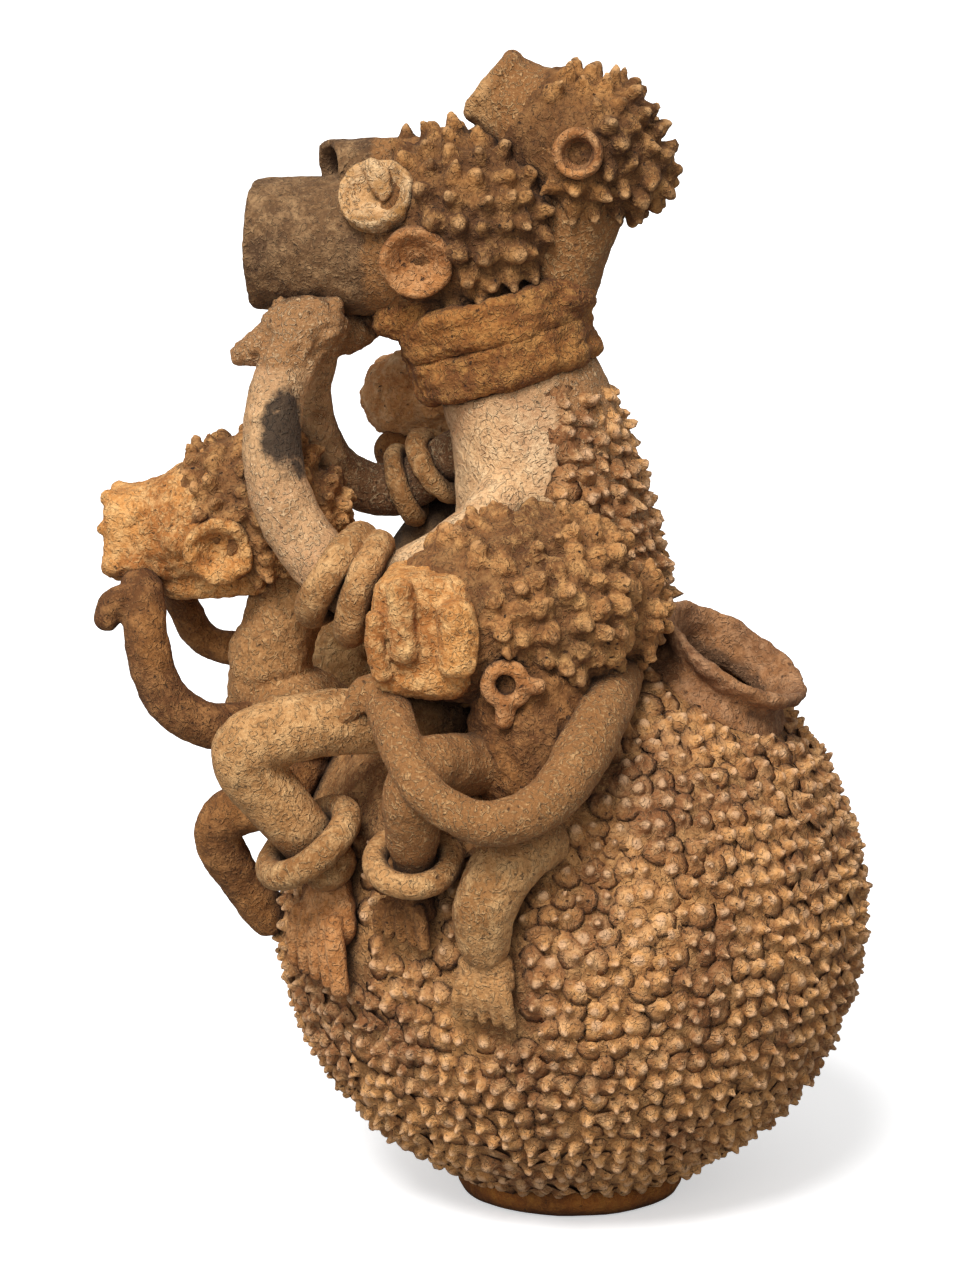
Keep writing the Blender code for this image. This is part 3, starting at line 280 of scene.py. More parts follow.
def coil(points, radii, sides=20, steps=6, start=0.0, end=None, round_start=True, round_end=True, bore=None):
    """A rolled coil along a smooth line. A bore of wall and depth opens its first end."""
    last = len(points) - 1 if end is None else end
    count = max(2, round((last - start) * steps))
    places = [start + (last - start) * i / count for i in range(count + 1)]
    turn = heading(points, places[0]).to_track_quat("Z", "Y")
    turns = [turn]
    for a, b in zip(places, places[1:]):
        turn = heading(points, a).rotation_difference(heading(points, b)) @ turn
        turns.append(turn)

    def ring(i, radius, push=0.0):
        centre = between(points, places[i]) + heading(points, places[i]) * push
        return Matrix.Translation(centre) @ turns[i].to_matrix().to_4x4() @ Matrix.Scale(radius, 4)

    def dome(i, way):
        radius = between(radii, places[i])
        return [ring(i, radius * math.cos(a), way * radius * 0.7 * math.sin(a))
                for a in (0.45, 0.85, 1.2, 1.42)]

    girths = [between(radii, p) for p in places]
    path = [ring(i, girths[i]) for i in range(count + 1)]
    if round_end:
        path = path + dome(count, 1)
    if bore:
        wall, depth = bore
        lip = wall * 0.35
        path.insert(0, ring(0, girths[0] - lip * 0.3, -lip * 0.7))
        path.insert(0, ring(0, girths[0] - wall + lip * 0.3, -lip * 0.7))
        for i in range(count + 1):
            if places[i] <= depth:
                path.insert(0, ring(i, girths[i] - wall))
    elif round_start:
        path = dome(0, -1)[::-1] + path
    return sweep(path, sides)


def spun(bm, centre, axis, sides):
    """A line or ring beside +Z spun about it, closed, and set on an axis."""
    bmesh.ops.spin(bm, geom=bm.verts[:] + bm.edges[:], cent=(0, 0, 0), axis=UP, angle=math.tau, steps=sides,
                   use_merge=True)
    bmesh.ops.remove_doubles(bm, verts=bm.verts, dist=1e-6)
    bmesh.ops.transform(bm, matrix=Matrix.Translation(centre) @ frame_along(axis), verts=bm.verts)
    bmesh.ops.recalc_face_normals(bm, faces=bm.faces)
    return bm


def turned(profile, centre, axis, sides):
    """A shape turned about an axis from pairs of radius and height that start and end on it."""
    bm = bmesh.new()
    line = [bm.verts.new((radius, 0, height)) for radius, height in profile]
    for pair in zip(line, line[1:]):
        bm.edges.new(pair)
    return spun(bm, centre, axis, sides)


def lump(centre, size, turn=Matrix(), sides=20, rings=14):
    """A rounded lump with three half-sizes."""
    bm = bmesh.new()
    bmesh.ops.create_uvsphere(bm, u_segments=sides, v_segments=rings, radius=1)
    seat = Matrix.Translation(centre) @ turn @ Matrix.Diagonal((*size, 1))
    bmesh.ops.transform(bm, matrix=seat, verts=bm.verts)
    return bm


def plate(centre, turn, size, bevel):
    """A block with rounded edges."""
    bm = bmesh.new()
    bmesh.ops.create_cube(bm, size=1, matrix=Matrix.Translation(centre) @ turn @ Matrix.Diagonal((*size, 1)))
    bmesh.ops.bevel(bm, geom=bm.edges[:], offset=bevel, segments=5, profile=0.5, affect="EDGES")
    return bm


def hoop(centre, axis, radius, thickness, sides, facets, height=None):
    """A closed ring of round section, or a band where it has a height along its axis."""
    bm = bmesh.new()
    made = bmesh.ops.create_circle(bm, segments=facets, radius=thickness / 2)
    bmesh.ops.rotate(bm, verts=made["verts"], cent=(0, 0, 0), matrix=Matrix.Rotation(math.pi / 2, 3, "X"))
    bmesh.ops.scale(bm, verts=made["verts"], vec=(1, 1, (height or thickness) / thickness))
    bmesh.ops.translate(bm, verts=made["verts"], vec=(radius, 0, 0))
    return spun(bm, centre, axis, sides)


def mesh_of(forms):
    """One mesh of several forms."""
    bm = bmesh.new()
    for form in forms:
        part = bpy.data.meshes.new("form")
        form.to_mesh(part)
        form.free()
        bm.from_mesh(part)
        bpy.data.meshes.remove(part)
    mesh = bpy.data.meshes.new("clay")
    bm.to_mesh(mesh)
    bm.free()
    return mesh


def placed(name, data):
    """A new object in the scene."""
    obj = bpy.data.objects.new(name, data)
    bpy.context.scene.collection.objects.link(obj)
    return obj


def pressed(forms, voxel, strokes, *marks, share=None):
    """Forms pressed into one skin, with their joints stroked soft, and kneaded."""
    carrier = placed("carrier", mesh_of(forms))
    press = carrier.modifiers.new("press", "REMESH")
    press.mode = "VOXEL"
    press.voxel_size = voxel
    stroke = carrier.modifiers.new("stroke", "SMOOTH")
    stroke.factor = 0.5
    stroke.iterations = strokes
    bpy.context.view_layer.update()
    mesh = bpy.data.meshes.new_from_object(carrier.evaluated_get(bpy.context.evaluated_depsgraph_get()))
    bpy.data.objects.remove(carrier)
    return kneaded(mesh, *marks, share=share)


def kneaded(mesh, *marks, grain=None, share=None):
    """Pushes a skin in and out by soft noise: pairs of the marks' size and depth.

    Along a grain the marks lie closer. Share is a function of the place: how much of the push it takes.
    """
    closer = 1.8
    for size, depth in marks:
        moves = []
        for vert in mesh.vertices:
            at = vert.co + grain * vert.co.dot(grain) * closer if grain else vert.co
            push = noise.fractal(at / size + Vector((size * 90, 3.1, 7.7)), 0.9, 2.1, 3)
            moves.append(vert.co + vert.normal * push * depth * (share(vert.co) if share else 1))
        mesh.vertices.foreach_set("co", [c for move in moves for c in move])
        mesh.update()
    return mesh


def piece(name, mesh, material, nodes=(), body="vessel"):
    """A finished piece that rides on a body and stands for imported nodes."""
    mesh.materials.clear()
    mesh.materials.append(material)
    mesh.shade_smooth()
    obj = placed(name, mesh)
    mesh.name = name
    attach(obj, body)
    if nodes:
        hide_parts(*nodes)
    return obj


# Studs

def pellet(profile, sides):
    """A pinched pellet turned about +Z, with its share of the height kept as an attribute."""
    bm = turned(profile, Vector(), UP, sides)
    if bm.calc_volume(signed=True) < 0:
        bmesh.ops.reverse_faces(bm, faces=bm.faces)
    mesh = bpy.data.meshes.new("pellet")
    bm.to_mesh(mesh)
    bm.free()
    top = max(height for radius, height in profile)
    tip = mesh.attributes.new("tip", "FLOAT", "POINT")
    tip.data.foreach_set("value", [max(v.co.z, 0) / top for v in mesh.vertices])
    return mesh


# Pellets of unit pitch, as radius and height. Each has a root in the wall and a skirt that runs out on it.
THORN = pellet([(0, -0.10), (0.80, -0.05), (0.50, 0.04), (0.30, 0.22), (0.19, 0.46), (0.11, 0.62),
                (0, 0.68)], 10)
BEAD = pellet([(0, -0.10), (0.78, -0.05), (0.50, 0.04), (0.34, 0.20), (0.26, 0.38), (0.15, 0.50),
               (0, 0.54)], 10)
STUB = pellet([(0, -0.10), (0.76, -0.05), (0.52, 0.03), (0.35, 0.13), (0.20, 0.22), (0, 0.24)], 10)
KNOB = pellet([(0, -0.30), (0.56, -0.25), (0.56, -0.02), (0.43, 0.16), (0.34, 0.36), (0.26, 0.56),
               (0.16, 0.70), (0, 0.75)], 12)
SPIKE = pellet([(0, -0.30), (0.56, -0.25), (0.56, -0.02), (0.42, 0.16), (0.30, 0.40), (0.19, 0.64),
                (0.09, 0.84), (0, 0.90)], 12)
CRUMB = pellet([(0, -0.30), (0.55, -0.25), (0.55, 0.02), (0.46, 0.18), (0.34, 0.32), (0.18, 0.41),
                (0, 0.44)], 12)


def studded(places, rough):
    """A form of many pellets, turned and leant by chance: rows of place, way out, pellet, width and height.

    Rough is how far finger marks push the clay.
    """
    slant = 0.17
    finger_mark = 0.0034
    bm = bmesh.new()
    for place, out, shape, width, height in places:
        lean = Vector((chance.gauss(0, 1), chance.gauss(0, 1), chance.gauss(0, 1))) * slant
        turn = frame_along((out + lean).normalized()) @ Matrix.Rotation(chance.uniform(0, math.tau), 4, "Z")
        wide = width * chance.uniform(0.84, 1.12)
        size = Matrix.Diagonal((wide * chance.uniform(0.84, 1.14), wide, height, 1))
        copy = shape.copy()
        copy.transform(Matrix.Translation(place) @ turn @ size)
        bm.from_mesh(copy)
        bpy.data.meshes.remove(copy)
    for vert in bm.verts:
        where = vert.co / finger_mark
        push = [noise.noise(where + Vector(shift)) for shift in ((0, 0, 0), (9, 4, 2), (3, 8, 5))]
        vert.co += Vector(push) * rough
    return bm


def tree_of(names):
    """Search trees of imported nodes."""
    trees = []
    for name in names:
        bm = bmesh.new()
        bm.from_mesh(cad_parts[name].data)
        trees.append(BVHTree.FromBMesh(bm))
        bm.free()
    return trees


def clear_of(trees, place, room):
    """Whether a place keeps its room to every tree."""
    return all(tree.find_nearest(place, room)[0] is None for tree in trees)


def hair_places(points, radii, start, end, pitch, shapes, room, names, angles=(-180, 180), bald=0.0):
    """Places for pellets on a head, from a place along it to another, in rows that run round it."""
    trees = tree_of(names)
    last = len(points) - 1
    places = []
    place = start
    odd = 0.0
    while place <= end:
        girth = between(radii, place)
        step = 360 / max(4, round(math.tau * girth / pitch))
        angle = angles[0] + odd * step
        ahead = min(place + 0.1, last)
        behind = max(place - 0.1, 0)
        run = (between(points, ahead) - between(points, behind)).length
        slope = (between(radii, ahead) - between(radii, behind)) / run
        while angle < angles[1] - 0.5 * step:
            at = min(max(place + chance.gauss(0, 0.05), 0), last)
            spot, out = side_of(points, radii, at, angle + chance.gauss(0, step * 0.08))
            way = (out - heading(points, place) * slope).normalized()
            if chance.random() > bald and clear_of(trees, spot, room):
                shape = shapes[int(chance.random() * len(shapes))]
                places.append((spot, way, shape, pitch, pitch * chance.uniform(0.8, 1.1)))
            angle += step
        odd = 0.5 - odd
        travel = math.hypot(1, slope) * run / (ahead - behind)
        place += pitch * 0.92 / max(travel, 1e-3)
    return places


def tufted(points, radii, start, places, rough, *marks, crown=0):
    """A cap over the back of a head with pellets pinched out of it.

    Each spot's height is kept as an attribute. Crown is the pitch of more pellets over its rounded end.
    """
    under = coil(points, radii, 40, start=start)
    base = BVHTree.FromBMesh(under)
    last = len(points) - 1
    ahead = heading(points, last)
    for tilt in (28, 62, 90) if crown else ():
        count = max(1, round(math.tau * radii[-1] * math.cos(math.radians(tilt)) / crown))
        for i in range(count):
            out = side_of(points, radii, last, 360 * (i + chance.uniform(-0.2, 0.2)) / count)[1]
            way = out * math.cos(math.radians(tilt)) + ahead * math.sin(math.radians(tilt))
            spot = base.ray_cast(points[-1] + way * 0.1, -way)[0]
            places = places + [(spot, way, KNOB, crown, crown)]
    mesh = pressed([under, studded(places, rough)], TUFT_VOXEL, 1, *marks)
    tall = max(height for place, out, shape, width, height in places) * 0.75
    paint(mesh, "tip", lambda at: min(base.find_nearest(at)[3] / tall, 1.0))
    return mesh


def paint(mesh, name, share):
    """A value from 0 to 1 at every point, from a function of its place."""
    layer = mesh.attributes.new(name, "FLOAT", "POINT")
    layer.data.foreach_set("value", [share(vert.co) for vert in mesh.vertices])


def ramp(value, low, high):
    """0 below the low value, 1 above the high one, and soft between."""
    t = min(max((value - low) / (high - low), 0), 1)
    return t * t * (3 - 2 * t)


# Materials

def linear(colour):
    """An sRGB hex colour as linear RGBA."""
    parts = [int(colour[i:i + 2], 16) / 255 for i in (0, 2, 4)]
    return (*[c / 12.92 if c <= 0.04045 else ((c + 0.055) / 1.055) ** 2.4 for c in parts], 1)


def add(tree, kind, inputs=(), output=0, **settings):
    """An output of a new node with its settings, each input wired to a socket or set to a value."""
    node = tree.nodes.new("ShaderNode" + kind)
    for key, value in settings.items():
        setattr(node, key, value)
    for key, value in dict(inputs).items():
        if isinstance(value, bpy.types.NodeSocket):
            tree.links.new(value, node.inputs[key])
        else:
            node.inputs[key].default_value = value
    return node.outputs[output]


def fired_clay(name, body, dark, pale, chaff, pits, relief, tip_wear_and_highlight=None, stains_and_shades=(), soot=None, fold_shade=0.9):
    """Matt fired clay: flashes of the fire, a mottled skin, straw marks, pits and painted shade in its folds.

    Chaff, pits and relief are the strengths of the straw marks, the pits and the bumps. Tip wear and highlight
    names the colour of pellets' tips, pale with wear and a painted highlight, by the attribute tip; their feet
    take painted shade.
    Stains and shades are pairs of an attribute and its colour, some of them painted shade, and soot is the
    colour of smoke over them, by the attribute soot. Fold shade is the share of painted shade in the folds.
    """
    material = bpy.data.materials.new(name)
    material.use_nodes = True
    tree = material.node_tree
    shader = tree.nodes["Principled BSDF"]
    where = add(tree, "TexCoord", output="Object")

    # Flashes where the flame touched the clay, about 45 mm across, and mottling of about 9 mm.
    flash = add(tree, "TexNoise", {"Vector": where, "Scale": 1 / 0.045, "Detail": 3.0})
    flash = add(tree, "MapRange", {0: flash, 1: 0.36, 2: 0.60}, interpolation_type="SMOOTHSTEP")
    mottle = add(tree, "TexNoise", {"Vector": where, "Scale": 1 / 0.009, "Detail": 6.0, "Roughness": 0.66})
    light = add(tree, "MapRange", {0: mottle, 1: 0.47, 2: 0.68, 4: 0.8})
    shade = add(tree, "MapRange", {0: mottle, 1: 0.48, 2: 0.32, 4: 0.7})
    # Layers of a share and a colour, each laid over those before it.
    layers = [(flash, body), (light, pale), (shade, dark)]
    # Stains, some of them painted shade, each by its own attribute.
    for attribute, overlay_tone in stains_and_shades:
        share = add(tree, "Attribute", output="Fac", attribute_name=attribute)
        ragged = add(tree, "Math", {0: mottle, 1: 1.1, 2: share}, operation="MULTIPLY_ADD")
        layers.append((add(tree, "MapRange", {0: ragged, 1: 0.88, 2: 1.18, 4: 0.92}), overlay_tone))

    # Chopped straw in the clay: thin winding ridges of a few millimetres, broken by a second noise.
    marks = []
    for seed, size in ((2.0, 0.0036), (9.0, 0.0028)):
        line = add(tree, "TexNoise", {"Vector": where, "W": seed, "Scale": 1 / size, "Detail": 0.0},
                   noise_dimensions="4D")
        off = add(tree, "Math", {0: line, 1: 0.5}, operation="SUBTRACT")
        off = add(tree, "Math", {0: off}, operation="ABSOLUTE")
        thin = add(tree, "MapRange", {0: off, 1: 0.010, 2: 0.052, 3: 1.0, 4: 0.0})
        gaps = add(tree, "TexNoise", {"Vector": where, "W": seed + 4, "Scale": 1 / 0.0026, "Detail": 0.0},
                   noise_dimensions="4D")
        gaps = add(tree, "MapRange", {0: gaps, 1: 0.49, 2: 0.56})
        marks.append(add(tree, "Math", {0: thin, 1: gaps}, operation="MULTIPLY"))
    straw = add(tree, "Math", {0: marks[0], 1: marks[1]}, operation="MAXIMUM")
    layers.append((add(tree, "Math", {0: straw, 1: 0.45 * chaff}, operation="MULTIPLY"), pale))

    # Speckle of the coarse grain, and pits of 1 to 2 mm where grit and straw fell out, bent by the mottling,
    # darkened as painted shade in their hollows.
    grain = add(tree, "TexNoise", {"Vector": where, "Scale": 1 / 0.0016, "Detail": 3.0, "Roughness": 0.6})
    for low, high, tone in ((0.47, 0.30, dark), (0.55, 0.74, pale)):
        layers.append((add(tree, "MapRange", {0: grain, 1: low, 2: high, 4: 0.6}), tone))
    bent = add(tree, "VectorMath", {0: mottle.node.outputs["Color"], 1: (0.009,) * 3, 2: where},
               operation="MULTIPLY_ADD")
    cell = add(tree, "TexVoronoi", {"Vector": bent, "Scale": 1 / 0.0044}, "Distance")
    luck = add(tree, "Math", {0: cell.node.outputs["Color"], 1: 0.36, 2: cell}, operation="MULTIPLY_ADD")
    hole = add(tree, "MapRange", {0: luck, 1: 0.16, 2: 0.28, 3: 1.0, 4: 0.0})
    layers.append((add(tree, "Math", {0: hole, 1: pits}, operation="MULTIPLY"), "2e1b0f"))

    if soot:
        share = add(tree, "Attribute", output="Fac", attribute_name="soot")
        ragged = add(tree, "Math", {0: mottle, 1: 1.6, 2: share}, operation="MULTIPLY_ADD")
        layers.append((add(tree, "MapRange", {0: ragged, 1: 1.15, 2: 1.65, 4: 0.92}), soot))

    # Tips of pellets, pale with wear and a painted highlight, and painted shade at their feet.
    if tip_wear_and_highlight:
        share = add(tree, "Attribute", output="Fac", attribute_name="tip")
        layers.append((add(tree, "MapRange", {0: share, 1: 0.66, 2: 1.0, 4: 0.7}), tip_wear_and_highlight))
        layers.append((add(tree, "MapRange", {0: share, 1: 0.0, 2: 0.34, 3: 0.6, 4: 0.0}), dark))

    # Painted shade where the clay folds: darker wherever nearby clay hems a point in.
    fold_occlusion = add(tree, "AmbientOcclusion", {"Distance": 0.022}, "AO", samples=6)
    layers.append((add(tree, "MapRange", {0: fold_occlusion, 1: 0.16, 2: 0.62, 3: fold_shade, 4: 0.0}), "301c0e"))
    colour = linear(dark)
    for share, tone in layers:
        colour = add(tree, "Mix", {0: share, 6: colour, 7: linear(tone)}, 2, data_type="RGBA")

    # Relief: the mottled skin, its grain, straw ridges and pits.
    relief_of = mottle
    for mark, height in ((grain, 0.6), (hole, -0.9 * pits), (straw, 0.46 * chaff)):
        relief_of = add(tree, "Math", {0: mark, 1: height, 2: relief_of}, operation="MULTIPLY_ADD")
    bump = add(tree, "Bump", {"Height": relief_of, "Strength": relief, "Distance": 0.0021})
    tree.links.new(colour, shader.inputs["Base Color"])
    tree.links.new(bump, shader.inputs["Normal"])
    shader.inputs["Roughness"].default_value = 0.92
    shader.inputs["IOR"].default_value = 1.5
    return material


# Pinched studs: rough brown clay, with painted shade between the studs and at their feet, and pale and pinkish
# at the tips, worn and with a painted highlight.
stud_clay = fired_clay("pinched_brown_clay", "dc9f5e", "8e5b32", "eab880", 0.8, 0.9, 1.0,
                       tip_wear_and_highlight="ecbe92", fold_shade=0.5)
# Scraped wall of the pot between the studs: the same clay, darker, and with painted shade where the studs crowd
# it.
wall_clay = fired_clay("scraped_brown_clay", "b8824a", "80532b", "d6a268", 0.9, 0.9, 1.0)
# Wiped mouth of the pot: the wall's clay, rubbed smoother, with painted shade down its bore.
lip_clay = fired_clay("wiped_brown_clay", "a87345", "7a5030", "c4946a", 0.8, 0.5, 0.9,
                      stains_and_shades=(("earth_and_shade", "5e4028"),))
# Stroked skin of the trunk and the mother's arms: pale clay with straw marks, brown behind, painted shade down
# her right side, one spot sooted.
skin_clay = fired_clay("stroked_buff_clay", "e6b884", "c6966a", "f6d2a2", 1.0, 0.6, 1.0,
                       stains_and_shades=(("earth_and_shade", "9a6a3c"), ("far", "6a4526")), soot="2a1f17")
# Dull grey-brown clay of the snout, smoothed along its length.
snout_clay = fired_clay("smoothed_grey_brown_clay", "765432", "583c23", "b0895e", 1.0, 0.6, 0.9,
                        stains_and_shades=(("earth_and_shade", "9c6a39"),))
# Eye cups: cream clay with much straw.
eye_clay = fired_clay("pinched_cream_clay", "d2a069", "a0703a", "f2cd9c", 1.0, 0.5, 1.0)
# Blunt hair knobs: rough brown clay, pale at the tips with wear and a painted highlight, with painted shade at
# their feet.
knob_clay = fired_clay("pinched_knob_clay", "ac743b", "5e3918", "cc9558", 0.8, 0.9, 1.0, tip_wear_and_highlight="e0ad75")
# Collar: orange-brown clay that cracked and wrinkled as it was bent round.
band_clay = fired_clay("bent_orange_brown_clay", "a2662c", "6a3d19", "ca914e", 0.9, 0.8, 1.0)
# Ochre clay of the children's faces: lumpy and warm.
face_clay = fired_clay("pinched_ochre_clay", "dd9952", "a8682f", "f8c785", 0.7, 0.7, 1.0)
# Worn brown clay of the children's hair, pale at the tips with wear and a painted highlight, with painted shade
# at their feet.
worn_clay = fired_clay("worn_brown_clay", "b87e46", "633b19", "dca666", 0.8, 1.0, 1.0, tip_wear_and_highlight="dca56d")
# Rolled limbs of the children and the mother's legs: warm brown coils.
limb_clay = fired_clay("rolled_brown_clay", "c69159", "986736", "e8ba80", 1.0, 0.6, 1.0,
                       stains_and_shades=(("earth_and_shade", "8f5e30"),))
# Far child's head: coarse orange clay, open with pits, painted lighter to stand in for the light that the snout
# and arms keep off it, and with little painted shade in its folds.
crumb_clay = fired_clay("coarse_orange_clay", "f0ae6e", "c4824a", "fad09c", 0.6, 1.0, 1.0, fold_shade=0.2)
# Rolled limbs of the front child and most of the far child: the darkest brown.
dark_clay = fired_clay("rolled_dark_brown_clay", "905d2a", "673e1a", "b47e48", 0.8, 0.7, 1.0)
# Pressed reddish feet and ears: porous clay.
red_clay = fired_clay("pressed_red_brown_clay", "c07f45", "8c5629", "dca56f", 0.8, 0.8, 1.0)
# Knee of the far child: dark grey clay.
knee_clay = fired_clay("dark_grey_clay", "6d5134", "463421", "866744", 0.5, 0.6, 0.8)
# Foot ring: dark red-brown clay, rubbed by what it stands on.
foot_clay = fired_clay("turned_red_brown_clay", "b0651f", "7c4412", "c48033", 0.4, 0.6, 0.6)


# Pot

def arc(radius, start, end, count):
    """Points of radius and height on an arc about the origin, between two latitudes."""
    angles = [math.radians(start + (end - start) * i / count) for i in range(count + 1)]
    return [(radius * math.cos(a), radius * math.sin(a)) for a in angles]


MOUTH_AXIS = outward(MOUTH_BEARING, MOUTH_LATITUDE)
INNER = POT_RADIUS - POT_WALL
# The mouth from its foot over its lip and down its bore: radius, and height from the pot's centre.
MOUTH = [(0.0400, 0.1320), (0.0352, 0.1362), (0.0326, 0.1400), (0.0330, 0.1436), (0.0356, 0.1470),
         (0.0384, 0.1498), (0.0392, 0.1518), (0.0384, 0.1538), (0.0362, 0.1542), (0.0340, 0.1526),
         (0.0314, 0.1484), (0.0294, 0.1434), (0.0284, 0.1380), (0.0286, 0.1334), (0.0330, 0.1312)]


def make_pot():
    """The jar, turned about its mouth's axis, its flared mouth and its low foot."""
    outside = [(0, -POT_RADIUS)] + arc(POT_RADIUS, -88, 74, 90)
    inside = arc(INNER, 77, -88, 60) + [(0, -INNER)]
    jar = turned(outside + inside, POT_CENTRE, MOUTH_AXIS, 160)
    mesh = kneaded(mesh_of([jar]), (0.030, 0.0007), (0.008, 0.0006))
    piece("pot_wall", mesh, wall_clay, ("pot_body",))
    lip = turned(MOUTH + MOUTH[:1], POT_CENTRE, MOUTH_AXIS, 120)
    mesh = pressed([lip], 0.0011, 2, (0.024, 0.0018), (0.008, 0.0009))

    # Painted shade on the inside of the mouth, deeper down the bore.
    def down_bore(at):
        away = at - POT_CENTRE
        height = away.dot(MOUTH_AXIS)
        narrow = ramp(0.0345 - (away - MOUTH_AXIS * height).length, 0.0, 0.003)
        return narrow * ramp(0.1535 - height, 0.005, 0.021) * 0.9

    paint(mesh, "earth_and_shade", down_bore)
    piece("pot_lip", mesh, lip_clay, ("pot_mouth",))
    ring = [(0, 0.0004), (0.0300, 0.0004), (0.0500, 0.0004), (0.0526, 0.0015), (0.0542, 0.0045),
            (0.0550, 0.0080), (0.0548, 0.0115), (0.0534, 0.0152), (0.0490, 0.0176), (0.0300, 0.0178),
            (0, 0.0178)]
    foot = mesh_of([turned(ring, Vector(), UP, 96)])
    piece("foot_ring", kneaded(foot, (0.016, 0.0003)), foot_clay, ("foot_pad",))


def make_pot_studs():
    """Rows of pinched pellets round the pot, wherever nothing else is luted on."""
    trees = tree_of(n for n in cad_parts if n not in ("pot_body", "pot_studs", "foot_pad"))
    row = 0.0102
    pitch = 0.0098
    root = 0.0002
    room = 0.0045
    mouth_room = 0.30
    worn_spot = outward(100, 3)
    places = []
    latitude = -64.0
    while latitude < 82:
        count = round(math.tau * POT_RADIUS * math.cos(math.radians(latitude)) / pitch)
        shift = chance.random()
        for i in range(count):
            bearing = 360 * (i + shift + chance.gauss(0, 0.11)) / count
            out = outward(bearing, latitude + chance.gauss(0, 0.55))
            place = POT_CENTRE + out * (POT_RADIUS - root)
            dice = chance.random()
            worn = dice > 0.94 or (dice > 0.4 and (worn_spot - out).length < 0.24)
            low = latitude < -50
            shape = STUB if worn else (THORN if dice < 0.5 and not low else BEAD)
            tall = pitch * chance.uniform(0.78, 1.10) * (0.8 if low else 1.0)
            bare = 5 < bearing % 360 < 62 and latitude > 22
            if not bare and out.angle(MOUTH_AXIS) > mouth_room and clear_of(trees, place, room):
                places.append((place, out, shape, pitch * chance.uniform(0.9, 1.08), tall))
        latitude += math.degrees(row / POT_RADIUS)
    piece("pot_stud_rows", mesh_of([studded(places, 0.0009)]), stud_clay, ("pot_studs",))


# Mother

AHEAD = on_mother(1, 0, 0) - on_mother(0, 0, 0)
ASIDE = on_mother(0, 1, 0) - on_mother(0, 0, 0)


def mitten(place, thumb, lean):
    """A rough hand without fingers: a palm, three ridges and a pointed thumb."""
    points, radii = by_mother(thumb)
    forms = [lump(on_mother(*place) - UP * 0.001, (0.021, 0.018, 0.0160), FACING),
             coil(points, [r * 1.35 for r in radii], 14)]
    forward, left, up = place
    for i in range(3):
        root = (forward - 0.012 + 0.011 * i, left + lean * 0.010, up - 0.004, 0.0062)
        end = (forward - 0.013 + 0.012 * i, left - lean * 0.004, up + 0.009, 0.0062)
        forms.append(coil(*by_mother([root, end]), 12))
    return forms


